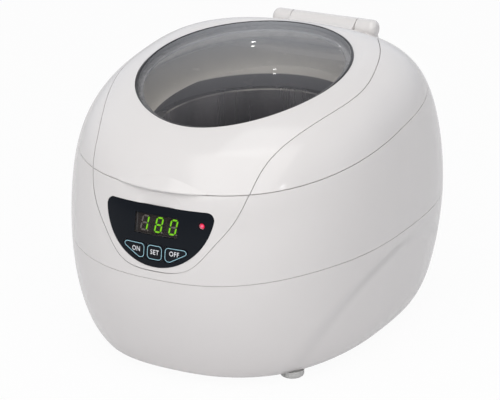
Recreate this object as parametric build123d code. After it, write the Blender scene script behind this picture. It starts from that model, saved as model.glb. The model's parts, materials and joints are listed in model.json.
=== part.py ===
"""Ultrasonic contact lens cleaner: an egg-shaped housing with a hinged, windowed lid over a steel tank.

Millimetres.  +Z is up, the front (control panel) faces -Y, and the origin lies at table level under the
middle of the body.  Each piece of the product is written to its own STEP file in parts/.
"""
import os
from functools import cache
from math import atan, atan2, cos, degrees, pi, radians, sin, sqrt

from build123d import *
from build123d.topology import SkipClean

# ---------------------------------------------------------------- body form
HALF_WIDTH = 90.0
FRONT_REACH = 120.4
REAR_REACH = 119.5
FLOOR_Z = 4.0            # underside of the base, above the table
GIRTH_Z = 68.0           # level of the widest section
CROWN_Z = 154.5          # level of the highest full section
FRONT_ROUNDNESS = 2.5    # superellipse exponent of the front half of each section
REAR_ROUNDNESS = 2.54    # and of its rear half
CROWN_TILT = 0.13        # rise per length of the highest section towards the rear
PLAN_POINTS = 24
# sections below the girth: share of the height up to it, then shares of half width, front and rear reach
LOWER_SECTIONS = (
    (0.00, 0.805, 0.860, 0.753),
    (0.15, 0.911, 0.897, 0.880),
    (0.50, 0.964, 0.975, 0.986),
)
GIRTH_SECTION = (0.0, 1.0, 1.0, 1.0)
# sections above the girth: share of the height up to the crown, then the same shares
UPPER_SECTIONS = (
    (0.375, 0.999, 0.968, 0.911),
    (0.69, 0.953, 0.890, 0.764),
    (0.89, 0.854, 0.733, 0.584),
    (1.00, 0.614, 0.541, 0.376),
)

# ---------------------------------------------------------------- walls and clearances
WALL = 2.6
BASE_EDGE_FILLET = 4.0
SHELL_GAP = 0.3          # seam between mouldings of the housing
SEAM_GAP = 0.4           # seam round the centre pieces
LID_GAP = 0.5            # running gap between lid and housing
FIT = 0.3                # clearance behind curved skins
SCREW_FIT = 0.05         # radial clearance of screw shanks in their bosses

# ---------------------------------------------------------------- parting planes
SHELL_PARTING_Z = 67.0
SHELL_DIP_Y = -66.0      # in front of here the parting line between the shells sinks in an arc
SHELL_DIP = 4.8          # how far it has sunk at the front of the body
LID_PARTING_Z = 125.3    # height of the lid's parting plane over the origin
LID_PARTING_SLOPE = 0.14
REAR_PARTING_ANGLE = 49.0

# ---------------------------------------------------------------- hinge
HINGE_Y = 78.8
HINGE_Z = 152.5
HINGE_RADIUS = 5.3
HINGE_HALF_LENGTH = 33.1
BARREL_HALF_LENGTH = 20.5
KNUCKLE_GAP = 0.4
HINGE_CAP_LENGTH = 4.2
HINGE_CAP_ROUND = 3.4
CAP_PLUG_RADIUS = 3.2
CAP_PLUG_LENGTH = 3.0
PIN_RADIUS = 1.5
PIN_FIT = 0.05
BARREL_FILLET = 9.0
KNUCKLE_ROOT_DROP = 14.5
KNUCKLE_ROOT_SETBACK = 15.0

# ---------------------------------------------------------------- centre strip
STRIP_ANGLE = 45.0       # the strip outline is drawn looking down at this angle
STRIP_FOOT = -38.1       # lowest point of the outline
# half width of the strip at each distance up its outline
STRIP_POINTS = (
    (20.0, -34.4),
    (32.0, -22.5),
    (41.5, -9.0),
    (46.5, 5.0),
    (50.0, 22.0),
    (57.0, 43.0),
    (66.0, 67.0),
    (70.0, 87.0),
    (67.0, 109.0),
    (59.0, 129.0),
    (44.0, 149.0),
)
STRIP_TAIL = 35.5        # half width where the strip runs out beside the hinge
STRIP_TAIL_AT = 162.0
STRIP_END = 185.0
FASCIA_LEDGE = 2.6       # width of the ledge behind the fascia's edge
FASCIA_LEDGE_DEPTH = 1.8
FASCIA_WALL = 2.0

# ---------------------------------------------------------------- lid
WINDOW_Y = -20.4
WINDOW_HALF_WIDTH = 57.0
WINDOW_HALF_LENGTH = 66.7
WINDOW_BULGE = 4.0       # rise of the glass over its side edges
WINDOW_THICKNESS = 2.4
SEAL_WIDTH = 1.1
SEAL_HEIGHT = 2.2
SEAL_SINK = 0.25         # the seal stands this far below the glass
GLAZING_GAP = 0.15
LINER_THICKNESS = 1.5
LINER_LEDGE = 4.5        # the liner's opening is smaller than the window by this
LINER_EDGE_RISE = 1.2
LIP_HALF_WIDTH = 26.0
LIP_REACH = 2.4
LIP_HEIGHT = 7.0
LIP_EDGE = 1.2
SCOOP_HALF_WIDTH = 23.0
SCOOP_HEIGHT = 9.0
SCOOP_DEPTH = 1.1

# ---------------------------------------------------------------- tank and deck
TANK_Y = -11.3
TANK_RIM_Z = 119.5
TANK_HALF_WIDTH = 49.5
TANK_HALF_LENGTH = 61.5
TANK_DEPTH = 68.0
TANK_WALL = 0.8
TANK_FLOOR_RADIUS = 12.0
TANK_FLANGE_WIDTH = 4.5
TANK_RIM_HEIGHT = 2.6
TANK_RIM_ROUND = 1.2
GASKET_HEIGHT = 0.8
GASKET_WIDTH = 3.2
DECK_THICKNESS = 2.4
DECK_DROP = 0.8          # deck lies this far below the lid's parting plane
DECK_COLLAR = 2.2
DECK_COLLAR_DEPTH = 4.6   # from the tank's seat down to the collar's underside
DECK_LEDGE_WIDTH = 3.2
DECK_LEDGE_HEIGHT = 2.0
TANK_FIT = 0.4
CLIP_WIDTH = 12.0
CLIP_THICKNESS = 1.2
CLIP_DROP = 14.0
CLIP_FOOT = 6.4
CLIP_ANGLES = (50, 130, 230, 310)

# ---------------------------------------------------------------- control panel
PANEL_RADIUS = 31.9
PANEL_TOP_Z = 101.0
PANEL_CORNER = 4.0
OVERLAY_THICKNESS = 0.8
OVERLAY_GAP = 0.15
DISPLAY_HALF_WIDTH = 12.6
DISPLAY_Z = 91.0
DISPLAY_HALF_HEIGHT = 5.2
DISPLAY_DEPTH = 6.4
STATUS_X = 25.5
STATUS_Z = 94.0
STATUS_RADIUS = 1.5
STATUS_SINK = 0.2
KEY_TOP_Z = 80.9
KEY_BOTTOM_Z = 72.7
KEY_CORNER = 1.6
SET_HALF_WIDTH = 4.7
SIDE_KEY_INNER = 5.8
SIDE_KEY_OUTER = 18.9
SIDE_KEY_FOOT = 9.4      # where the slanting lower edge starts
SIDE_KEY_SHOULDER_Z = 78.0
KEY_CLEARANCE = 0.3
KEY_FLANGE = 0.9
KEY_FLANGE_THICKNESS = 1.2
KEY_TRAVEL = 0.5
KEY_PLAY = 0.15          # free play between a pressed key and its switch
KEY_STEM_RADIUS = 1.5
SWITCH_BODY = 4.2
SWITCH_BODY_DEPTH = 2.0
SWITCH_PLUNGER_RADIUS = 1.1
SWITCH_PLUNGER_LENGTH = 0.9

# ---------------------------------------------------------------- boards and electrical parts
CONTROL_BOARD_SETBACK = 13.5     # from the face of the panel to the front of the board
CONTROL_BOARD_HALF_WIDTH = 27.0
CONTROL_BOARD_BOTTOM_Z = 72.0
CONTROL_BOARD_TOP_Z = 102.0
CONTROL_POST_X = 22.5
CONTROL_POST_BELOW_TOP = 4.5
BOARD_THICKNESS = 1.6
POST_RADIUS = 2.6
BOARD_SCREW_RADIUS = 1.1
BOARD_SCREW_HEAD_RADIUS = 2.1
BOARD_SCREW_HEAD_HEIGHT = 1.4
BOARD_SCREW_LENGTH = 7.0
MAIN_BOARD_Y = 72.0
MAIN_BOARD_HALF_WIDTH = 40.0
MAIN_BOARD_HALF_LENGTH = 20.0
MAIN_BOARD_STANDOFF = 8.0
MAIN_BOARD_HOLE_INSET = 5.0
TRANSFORMER_CORE = (26.0, 22.0, 24.0)
TRANSFORMER_COIL = (18.0, 28.0, 16.0)
TRANSFORMER_X = -22.0
HEAT_SINK_X = 12.0
HEAT_SINK_LENGTH = 26.0
HEAT_SINK_HEIGHT = 24.0
HEAT_SINK_FIN = 1.6
HEAT_SINK_PITCH = 4.4
HEAT_SINK_FINS = 4
TRANSISTOR_SIZE = (10.0, 4.4, 15.0)
TRANSISTOR_SPACING = 13.0
CAPACITOR_X = 30.0
CAPACITOR_RADIUS = 4.0
CAPACITOR_HEIGHT = 16.0
CAPACITOR_PITCH = 10.0
FUSE_RADIUS = 2.6
FUSE_LENGTH = 20.0
COMPONENT_Y = 72.0        # middle of the tall components
FUSE_FROM_EDGE = 3.2
INLET_Z = 50.0
INLET_WIDTH = 20.0
INLET_HEIGHT = 12.0
INLET_DEPTH = 17.0
INLET_SINK = 0.6         # face of the inlet below the rearmost point of the base
INLET_SOCKET_WIDTH = 15.8
INLET_SOCKET_HEIGHT = 8.0
INLET_SOCKET_DEPTH = 12.0
INLET_FLANGE = 1.6
INLET_PIN_RADIUS = 1.2
INLET_PIN_PITCH = 8.6
INLET_PIN_LENGTH = 9.5
INLET_TAG_LENGTH = 5.0
INLET_FIT = 0.2
INLET_FLANGE_BORDER = 3.0

# ---------------------------------------------------------------- transducer
FRONT_MASS_RADIUS = 22.0
FRONT_MASS_WAIST = 17.5
FRONT_MASS_HEIGHT = 13.0
CERAMIC_RADIUS = 17.5
CERAMIC_BORE = 6.5
CERAMIC_THICKNESS = 4.0
ELECTRODE_THICKNESS = 0.4
ELECTRODE_TAB = 8.0
BACK_MASS_RADIUS = 17.5
BACK_MASS_HEIGHT = 8.5
BOLT_RADIUS = 4.0
BOLT_HEAD_RADIUS = 6.5
BOLT_HEAD_HEIGHT = 5.0
BOLT_ENGAGEMENT = 8.0

# ---------------------------------------------------------------- feet and housing screws
FOOT_X = 55.0
FOOT_FRONT_Y = -70.0
FOOT_REAR_Y = 62.0
FOOT_RADIUS = 6.5
FOOT_ROUND = 1.8
FOOT_STEM_RADIUS = 2.4
FOOT_BARB_RADIUS = 3.4
FOOT_BARB_HEIGHT = 2.4
HOUSING_SCREW_X = 62.0
HOUSING_SCREW_Y = 50.0
HOUSING_POST_RADIUS = 4.4
HOUSING_SCREW_RADIUS = 1.6
HOUSING_SCREW_HEAD_RADIUS = 3.2
HOUSING_SCREW_HEAD_HEIGHT = 2.4
HOUSING_SCREW_SEAT = 52.0        # head seat above the floor of the base
HOUSING_SCREW_GRIP = 12.0        # length in the upper post
UPPER_POST_HEIGHT = 16.0
RIB_THICKNESS = 2.4

# ---------------------------------------------------------------- internal leads
LEAD_RADIUS = 1.0
LEAD_BEND = 8.0
MAINS_LEAD_DROP_Y = 88.0
TRANSDUCER_LEAD_X = (-4.0, 0.0)
RIBBON_WIDTH = 12.0
RIBBON_THICKNESS = 0.8
RIBBON_X = 24.0
RIBBON_BEND = 4.0
RIBBON_FLOOR_CLEARANCE = 3.4
RIBBON_SLANT_TOP_Z = 34.0
RIBBON_SLANT_REACH = 22.0
RIBBON_RISE_BEFORE_BOARD = 8.0
CONNECTOR_SIZE = (16.0, 5.0, 6.0)

BIG = 500.0              # larger than the product in every direction

UPPER_HEIGHT = CROWN_Z - GIRTH_Z
LOWER_HEIGHT = GIRTH_Z - FLOOR_Z
HINGE_AXIS = Vector(0, HINGE_Y, HINGE_Z)
REAR_NORMAL = Vector(0, sin(radians(REAR_PARTING_ANGLE)), -cos(radians(REAR_PARTING_ANGLE)))


# ================================================================ shapes used by several pieces
def superellipse_point(angle, side, front, rear):
    """Point of a section curve at a polar angle; the front half has its own reach and roundness."""
    in_front = sin(angle) < 0
    reach = front if in_front else rear
    power = FRONT_ROUNDNESS if in_front else REAR_ROUNDNESS
    radius = (abs(cos(angle) / side) ** power + abs(sin(angle) / reach) ** power) ** (-1 / power)
    return radius * cos(angle), radius * sin(angle)


def section_wire(shares, height, tilt, inset):
    """One closed section of the body, in a plane that rises towards the rear by the tilt."""
    _, side_share, front_share, rear_share = shares
    side = (HALF_WIDTH - inset) * side_share
    front = (FRONT_REACH - inset) * front_share
    rear = (REAR_REACH - inset) * rear_share
    points = []
    for step in range(PLAN_POINTS):
        x, y = superellipse_point(2 * pi * step / PLAN_POINTS, side, front, rear)
        points.append((x, y, height + tilt * y))
    return Wire([Spline(*points, periodic=True)])


@cache
def body_form(inset=0.0):
    """The egg, as a solid, with its skin set in by the inset."""
    wires = []
    for shares in LOWER_SECTIONS:
        drop = (1 - shares[0]) * (LOWER_HEIGHT - inset)
        wires.append(section_wire(shares, GIRTH_Z - drop, 0.0, inset))
    wires.append(section_wire(GIRTH_SECTION, GIRTH_Z, 0.0, inset))
    for shares in UPPER_SECTIONS:
        rise = shares[0] * (UPPER_HEIGHT - inset)
        wires.append(section_wire(shares, GIRTH_Z + rise, CROWN_TILT * shares[0] ** 1.5, inset))
    return Solid.make_loft(wires)


def beyond(point, direction):
    """Everything on the far side of a plane through the point, in the direction given."""
    return Plane(origin=point, z_dir=direction) * Box(BIG, BIG, BIG, align=(Align.CENTER, Align.CENTER, Align.MIN))


def above_shell_parting(offset=0.0):
    """Everything above the parting line of the two shells, moved up by the offset."""
    rear_z = SHELL_PARTING_Z + offset
    front_y = -FRONT_REACH - WALL
    sunk_share = (front_y - SHELL_DIP_Y) / (-FRONT_REACH - SHELL_DIP_Y)
    front_z = rear_z - SHELL_DIP * sunk_share ** 2
    arc = TangentArc((SHELL_DIP_Y, rear_z), (front_y, front_z), tangent=(-1, 0))
    rest = Polyline((front_y, front_z), (front_y, BIG), (BIG / 2, BIG), (BIG / 2, rear_z), (SHELL_DIP_Y, rear_z))
    plane = Plane(origin=(-BIG / 2, 0, 0), x_dir=(0, 1, 0), z_dir=(1, 0, 0))
    return extrude(plane * make_face(arc + rest), amount=BIG)


def above_lid_parting(offset=0.0):
    """Everything above the lid's parting plane, moved up by the offset."""
    return beyond((0, 0, LID_PARTING_Z + offset), (0, -LID_PARTING_SLOPE, 1))


def rear_plane_side(distance, towards_rear):
    """Everything beyond the slanted rear parting plane, at a distance from the hinge axis."""
    direction = REAR_NORMAL if towards_rear else -REAR_NORMAL
    return beyond(HINGE_AXIS + REAR_NORMAL * distance, direction)


def lid_zone(clearance=0.0):
    """Space that the lid fills, grown downwards and rearwards by the clearance."""
    return above_lid_parting(-clearance) & rear_plane_side(HINGE_RADIUS + clearance, False)


def strip_prism(grow=0.0):
    """The centre strip's outline, grown by an amount, carried through the whole product."""
    right = [(half + grow, along) for half, along in STRIP_POINTS]
    right.append((STRIP_TAIL + grow, STRIP_TAIL_AT))
    left = [(-half, along) for half, along in reversed(right)]
    foot = (0.0, STRIP_FOOT - grow)
    tail_right = (STRIP_TAIL + grow, STRIP_END)
    tail_left = (-STRIP_TAIL - grow, STRIP_END)
    edge = Spline(*left, foot, *right)
    tail = Polyline(right[-1], tail_right, tail_left, left[0])
    angle = radians(STRIP_ANGLE)
    plane = Plane(origin=(0, 0, 0), x_dir=(1, 0, 0), z_dir=(0, -cos(angle), sin(angle)))
    face = plane * make_face(edge + tail)
    return extrude(face, amount=BIG / 2, both=True)


def oval(half_width, half_length, centre_y, bottom_z, height):
    """Upright elliptical column."""
    face = Pos(0, centre_y, bottom_z) * Ellipse(half_width, half_length)
    return extrude(face, amount=height)


def upright(radius, height, x, y, z):
    """Upright cylinder standing on the point."""
    return Pos(x, y, z) * Cylinder(radius, height, align=(Align.CENTER, Align.CENTER, Align.MIN))


def level(radius, length, x, y, z):
    """Cylinder that runs from the point towards the rear."""
    cylinder = Cylinder(radius, length, align=(Align.CENTER, Align.CENTER, Align.MIN))
    return Pos(x, y, z) * Rot(-90, 0, 0) * cylinder


def across(radius, start_x, end_x):
    """Cylinder on the hinge axis between two places along it."""
    cylinder = Cylinder(radius, end_x - start_x, align=(Align.CENTER, Align.CENTER, Align.MIN))
    return Pos(start_x, HINGE_Y, HINGE_Z) * Rot(0, 90, 0) * cylinder


def block(size, x, y, z):
    """Box standing on the point."""
    return Pos(x, y, z) * Box(*size, align=(Align.CENTER, Align.CENTER, Align.MIN))


def front_prism(sketch, start_y, end_y):
    """Carries a front-view sketch (x right, z up) from one depth to another."""
    plane = Plane(origin=(0, start_y, 0), x_dir=(1, 0, 0), z_dir=(0, -1, 0))
    return extrude(plane * sketch, amount=start_y - end_y)


def face_y(form, x, z):
    """Depth at which the front of a form lies, at a place in the front view."""
    hits = form.find_intersection_points(Axis((x, 0, z), (0, -1, 0)))
    return min(point.Y for point, _ in hits)


def roof_z(form, x, y):
    """Height of the top of a form over a place."""
    hits = form.find_intersection_points(Axis((x, y, 0), (0, 0, 1)))
    return max(point.Z for point, _ in hits)


def mirrored_pair(shape):
    """A shape and its mirror image across the middle of the product."""
    return [shape, mirror(shape, about=Plane.YZ)]


OUTER = body_form()
INNER = body_form(WALL)
IN_WALL = body_form(WALL / 2)      # surface inside the wall, where ribs and ledges root
BEHIND_SKIN = body_form(WALL + FIT)
BEHIND_OVERLAY = body_form(OVERLAY_THICKNESS + OVERLAY_GAP)
FACE_Y = face_y(OUTER, 0, DISPLAY_Z)
BOARD_FRONT_Y = FACE_Y + CONTROL_BOARD_SETBACK
BASE_FLOOR_Z = FLOOR_Z + WALL


# ================================================================ housing mouldings
def panel_outline(grow=0.0):
    """Front view of the half-moon control panel."""
    radius = PANEL_RADIUS + grow
    top_z = PANEL_TOP_Z + grow
    half_width = sqrt(radius ** 2 - grow ** 2)
    arc = ThreePointArc((-half_width, top_z), (0, PANEL_TOP_Z - radius), (half_width, top_z))
    half_moon = make_face(arc + Line((half_width, top_z), (-half_width, top_z)))
    return fillet(half_moon.vertices(), PANEL_CORNER + grow)


def side_key_outline(grow=0.0):
    """Front view of the key to the right of the middle one."""
    corners = (
        (SIDE_KEY_INNER - grow, KEY_TOP_Z + grow),
        (SIDE_KEY_OUTER + grow, KEY_TOP_Z + grow),
        (SIDE_KEY_OUTER + grow, SIDE_KEY_SHOULDER_Z - grow / 2),
        (SIDE_KEY_FOOT + grow / 2, KEY_BOTTOM_Z - grow),
        (SIDE_KEY_INNER - grow, KEY_BOTTOM_Z - grow),
    )
    face = make_face(Polyline(*corners, close=True))
    return fillet(face.vertices(), KEY_CORNER)


def middle_key_outline(grow=0.0):
    """Front view of the middle key."""
    width = 2 * (SET_HALF_WIDTH + grow)
    height = KEY_TOP_Z - KEY_BOTTOM_Z + 2 * grow
    return Pos(0, (KEY_TOP_Z + KEY_BOTTOM_Z) / 2) * RectangleRounded(width, height, KEY_CORNER)


def key_outlines(grow=0.0):
    """Front views of the three keys, by name."""
    side = side_key_outline(grow)
    return {
        "key_on": mirror(side, about=Plane.YZ),
        "key_set": middle_key_outline(grow),
        "key_off": side,
    }


def display_outline(grow=0.0):
    """Front view of the display window."""
    width = 2 * (DISPLAY_HALF_WIDTH + grow)
    return Pos(0, DISPLAY_Z) * Rectangle(width, 2 * (DISPLAY_HALF_HEIGHT + grow))


def housing_posts():
    """Plan places of the four posts that join the two halves of the housing."""
    return [(x, y) for x in (-HOUSING_SCREW_X, HOUSING_SCREW_X) for y in (-HOUSING_SCREW_Y, HOUSING_SCREW_Y)]


def feet_places():
    """Plan place of each foot, by name."""
    return {
        "foot_front_left": (-FOOT_X, FOOT_FRONT_Y),
        "foot_front_right": (FOOT_X, FOOT_FRONT_Y),
        "foot_rear_left": (-FOOT_X, FOOT_REAR_Y),
        "foot_rear_right": (FOOT_X, FOOT_REAR_Y),
    }


def main_board_holes():
    """Plan places of the main board's corner screws."""
    x = MAIN_BOARD_HALF_WIDTH - MAIN_BOARD_HOLE_INSET
    y = MAIN_BOARD_HALF_LENGTH - MAIN_BOARD_HOLE_INSET
    return [(side * x, MAIN_BOARD_Y + end * y) for side in (-1, 1) for end in (-1, 1)]


def inlet_face_y():
    """Depth of the inlet's rear face."""
    hits = OUTER.find_intersection_points(Axis((0, 0, INLET_Z), (0, 1, 0)))
    return max(point.Y for point, _ in hits) - INLET_SINK


def base_shell():
    """Lower half of the housing, with posts, board standoffs, foot sockets and the inlet opening."""
    edge = OUTER.edges().sort_by(Axis.Z)[0]
    outside = OUTER.fillet(BASE_EDGE_FILLET, [edge])
    post_height = SHELL_PARTING_Z - BASE_FLOOR_Z
    posts = [upright(HOUSING_POST_RADIUS, post_height, x, y, BASE_FLOOR_Z) for x, y in housing_posts()]
    posts += [upright(POST_RADIUS, MAIN_BOARD_STANDOFF, x, y, BASE_FLOOR_Z) for x, y in main_board_holes()]
    rib_size = (RIB_THICKNESS, BIG / 4, post_height)
    ribs = [block(rib_size, x, y + (BIG / 8 if y > 0 else -BIG / 8), BASE_FLOOR_Z) for x, y in housing_posts()]
    shell = outside - INNER + (Compound(posts + ribs) & IN_WALL)
    cuts = [above_shell_parting()]
    for x, y in housing_posts():
        cuts.append(upright(HOUSING_SCREW_RADIUS + SCREW_FIT, BIG, x, y, 0))
        cuts.append(upright(HOUSING_SCREW_HEAD_RADIUS + SCREW_FIT, FLOOR_Z + HOUSING_SCREW_SEAT, x, y, 0))
    for x, y in main_board_holes():
        cuts.append(upright(BOARD_SCREW_RADIUS, MAIN_BOARD_STANDOFF, x, y, BASE_FLOOR_Z))
    for x, y in feet_places().values():
        cuts.append(upright(FOOT_STEM_RADIUS, WALL, x, y, FLOOR_Z))
        cuts.append(upright(FOOT_BARB_RADIUS + FIT, FOOT_BARB_HEIGHT + FIT, x, y, BASE_FLOOR_Z))
    opening = (INLET_WIDTH + 2 * INLET_FIT, BIG, INLET_HEIGHT + 2 * INLET_FIT)
    cuts.append(Pos(0, BIG / 2, INLET_Z) * Box(*opening))
    return shell - cuts


def knuckle_arm(start_x, end_x):
    """Arm that carries one fixed length of the hinge bar down to the rear of the housing."""
    top = HINGE_AXIS + Vector(0, cos(pi / 6), sin(pi / 6)) * HINGE_RADIUS
    root_z = HINGE_Z - KNUCKLE_ROOT_DROP
    foot_front = HINGE_AXIS + REAR_NORMAL * (HINGE_RADIUS + LID_GAP)
    corners = (
        (HINGE_Y, HINGE_Z),
        (top.Y, top.Z),
        (HINGE_Y + KNUCKLE_ROOT_SETBACK, root_z),
        (foot_front.Y, root_z),
        (foot_front.Y - HINGE_RADIUS * cos(radians(REAR_PARTING_ANGLE)) / 2, foot_front.Z - HINGE_RADIUS / 2),
    )
    profile = make_face(Polyline(*corners, close=True))
    plane = Plane(origin=(start_x, 0, 0), x_dir=(0, 1, 0), z_dir=(1, 0, 0))
    return extrude(plane * profile, amount=end_x - start_x) + across(HINGE_RADIUS, start_x, end_x)


def upper_shell():
    """Upper half of the housing behind and beside the centre fascia, with the fixed hinge knuckles."""
    rear_skin = rear_plane_side(HINGE_RADIUS + LID_GAP, True) - rear_plane_side(HINGE_RADIUS + LID_GAP + WALL, True)
    rear_skin = rear_skin & above_lid_parting(-WALL) & OUTER
    shell = (OUTER - INNER + rear_skin) - lid_zone(LID_GAP)
    shell &= above_shell_parting(SHELL_GAP)
    shell -= strip_prism() - beyond((0, 0, 0), (0, 1, 0))
    additions = [fascia_ledge(), deck_ledge()]
    cuts = [across(PIN_RADIUS, -HINGE_HALF_LENGTH, HINGE_HALF_LENGTH)]
    arm_start = BARREL_HALF_LENGTH + KNUCKLE_GAP
    arm_end = HINGE_HALF_LENGTH - HINGE_CAP_LENGTH
    additions += mirrored_pair(knuckle_arm(arm_start, arm_end))
    cuts += mirrored_pair(across(CAP_PLUG_RADIUS, arm_end - CAP_PLUG_LENGTH, HINGE_HALF_LENGTH))
    bottom = SHELL_PARTING_Z + SHELL_GAP
    ribs = []
    for x, y in housing_posts():
        ribs.append(block((BIG / 4, RIB_THICKNESS, UPPER_POST_HEIGHT), x + (BIG / 8 if x > 0 else -BIG / 8), y, bottom))
        additions.append(upright(HOUSING_POST_RADIUS, UPPER_POST_HEIGHT, x, y, bottom))
        cuts.append(upright(HOUSING_SCREW_RADIUS, HOUSING_SCREW_GRIP, x, y, bottom))
    additions.append(Compound(ribs) & IN_WALL)
    return shell + additions - cuts


def below_deck(offset):
    """Everything lower than the deck's top face by the offset or more."""
    return beyond((0, 0, LID_PARTING_Z - LID_GAP - DECK_DROP - offset), (0, LID_PARTING_SLOPE, -1))


def fascia_ledge():
    """Ledge inside the upper shell that backs the edge of the centre fascia."""
    band = strip_prism(FASCIA_LEDGE) - strip_prism(-FASCIA_LEDGE)
    face_inset = FASCIA_WALL + FIT
    ledge = (body_form(face_inset) - body_form(face_inset + FASCIA_LEDGE_DEPTH)) & band
    ledge &= above_shell_parting(SHELL_GAP)
    ledge &= beyond((0, 0, 0), (0, -1, 0))
    return ledge & below_deck(DECK_THICKNESS + DECK_LEDGE_HEIGHT / 2)


def deck_ledge():
    """Ledge round the inside of the upper shell that carries the deck."""
    ledge = IN_WALL - body_form(WALL + DECK_LEDGE_WIDTH)
    ledge = ledge & below_deck(DECK_THICKNESS) - below_deck(DECK_THICKNESS + DECK_LEDGE_HEIGHT)
    return ledge - rear_plane_side(HINGE_RADIUS + LID_GAP, True) - strip_prism(FASCIA_LEDGE)


def control_posts():
    """Front-view places of the posts that carry the control board."""
    z = CONTROL_BOARD_TOP_Z - CONTROL_POST_BELOW_TOP
    return [(-CONTROL_POST_X, z), (CONTROL_POST_X, z)]


def finger_scoop():
    """Shallow hollow under the lid's lip."""
    lip_z = LID_PARTING_Z + LID_PARTING_SLOPE * FACE_Y
    depth = face_y(OUTER, 0, lip_z - SCOOP_HEIGHT / 2)
    ball = scale(Sphere(1.0), by=(SCOOP_HALF_WIDTH, 2 * SCOOP_DEPTH, SCOOP_HEIGHT))
    return Pos(0, depth - SCOOP_DEPTH, lip_z) * ball


def front_fascia():
    """Centre piece of the upper shell, recessed for the control overlay and cut for keys and display."""
    skin = OUTER - body_form(FASCIA_WALL)
    fascia = skin & strip_prism(-SEAM_GAP)
    fascia &= above_shell_parting(SHELL_GAP)
    fascia &= beyond((0, 0, 0), (0, -1, 0))
    cuts = [lid_zone(LID_GAP), finger_scoop()]
    cuts.append(front_prism(panel_outline(OVERLAY_GAP), 0, -BIG / 2) - BEHIND_OVERLAY)
    cuts += [front_prism(outline, 0, -BIG / 2) for outline in key_outlines(KEY_CLEARANCE).values()]
    cuts.append(front_prism(display_outline(KEY_CLEARANCE), 0, -BIG / 2))
    cuts.append(level(STATUS_RADIUS + SCREW_FIT, BIG / 2, STATUS_X, -BIG / 2, STATUS_Z))
    screw_depth = BOARD_SCREW_LENGTH - BOARD_THICKNESS
    posts = []
    for x, z in control_posts():
        post = level(POST_RADIUS, BOARD_FRONT_Y - FACE_Y, x, FACE_Y, z)
        posts.append(post & BEHIND_OVERLAY)
        cuts.append(level(BOARD_SCREW_RADIUS, screw_depth, x, BOARD_FRONT_Y - screw_depth, z))
    return fascia + posts - cuts


def control_overlay():
    """Black half-moon overlay that lies in the fascia's recess."""
    overlay = front_prism(panel_outline(), 0, -BIG / 2) & OUTER
    cuts = [front_prism(outline, 0, -BIG / 2) for outline in key_outlines(KEY_CLEARANCE).values()]
    cuts.append(front_prism(display_outline(OVERLAY_GAP), 0, -BIG / 2))
    cuts.append(level(STATUS_RADIUS + SCREW_FIT, BIG / 2, STATUS_X, -BIG / 2, STATUS_Z))
    return overlay - [body_form(OVERLAY_THICKNESS), *cuts]


def display_lens():
    """Smoked lens that fills the display window of the overlay."""
    return (front_prism(display_outline(), 0, -BIG / 2) & OUTER) - body_form(OVERLAY_THICKNESS)


# ================================================================ keys and control board
def key_centre(name):
    """Front-view place of the stem behind a key."""
    side = (SIDE_KEY_INNER + SIDE_KEY_FOOT) / 2 + KEY_CORNER
    z = (KEY_TOP_Z + KEY_BOTTOM_Z) / 2
    return {"key_on": (-side, z), "key_set": (0.0, z), "key_off": (side, z)}[name]


def switch_front_y():
    """Depth of the tip of a switch's plunger."""
    return BOARD_FRONT_Y - SWITCH_BODY_DEPTH - SWITCH_PLUNGER_LENGTH


def key(name):
    """One key: a cap through the overlay, a flange clear of the next key's and a stem."""
    x, z = key_centre(name)
    inside_y = face_y(OUTER, SIDE_KEY_OUTER, KEY_TOP_Z) + WALL + FIT
    cap = front_prism(key_outlines()[name], inside_y, -BIG / 2) & OUTER
    flange = front_prism(key_outlines(KEY_FLANGE)[name], inside_y + KEY_FLANGE_THICKNESS, inside_y)
    if name == "key_set":
        flange &= block((2 * SET_HALF_WIDTH, BIG, BIG), 0, 0, 0)
    else:
        flange -= block((2 * SIDE_KEY_INNER, BIG, BIG), 0, 0, 0)
    stem_end = switch_front_y() - KEY_TRAVEL - KEY_PLAY
    return cap + flange + level(KEY_STEM_RADIUS, stem_end - inside_y, x, inside_y, z)


def control_board():
    """Board behind the control panel, upright."""
    height = CONTROL_BOARD_TOP_Z - CONTROL_BOARD_BOTTOM_Z
    board = block((2 * CONTROL_BOARD_HALF_WIDTH, BOARD_THICKNESS, height), 0, 0, CONTROL_BOARD_BOTTOM_Z)
    board = Pos(0, BOARD_FRONT_Y + BOARD_THICKNESS / 2, 0) * board
    for x, z in control_posts():
        board -= level(BOARD_SCREW_RADIUS + SCREW_FIT, BIG, x, -BIG / 2, z)
    return board


def control_screws():
    """Screws that hold the control board to the fascia."""
    return [board_screw_level(x, z) for x, z in control_posts()]


def board_screw_level(x, z):
    """Pan-head screw that enters the fascia's post from behind."""
    back_y = BOARD_FRONT_Y + BOARD_THICKNESS
    shank = level(BOARD_SCREW_RADIUS, BOARD_SCREW_LENGTH, x, back_y - BOARD_SCREW_LENGTH, z)
    return shank + level(BOARD_SCREW_HEAD_RADIUS, BOARD_SCREW_HEAD_HEIGHT, x, back_y, z)


def led_display():
    """Three-digit display module on the control board."""
    size = (2 * DISPLAY_HALF_WIDTH, DISPLAY_DEPTH, 2 * DISPLAY_HALF_HEIGHT)
    return Pos(0, BOARD_FRONT_Y - DISPLAY_DEPTH / 2, DISPLAY_Z) * Box(*size)


def status_led():
    """Small round light that reaches through the overlay."""
    tip_y = face_y(OUTER, STATUS_X, STATUS_Z) + STATUS_SINK
    barrel = level(STATUS_RADIUS, BOARD_FRONT_Y - tip_y - STATUS_RADIUS, STATUS_X, tip_y + STATUS_RADIUS, STATUS_Z)
    return barrel + Pos(STATUS_X, tip_y + STATUS_RADIUS, STATUS_Z) * Sphere(STATUS_RADIUS)


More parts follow.
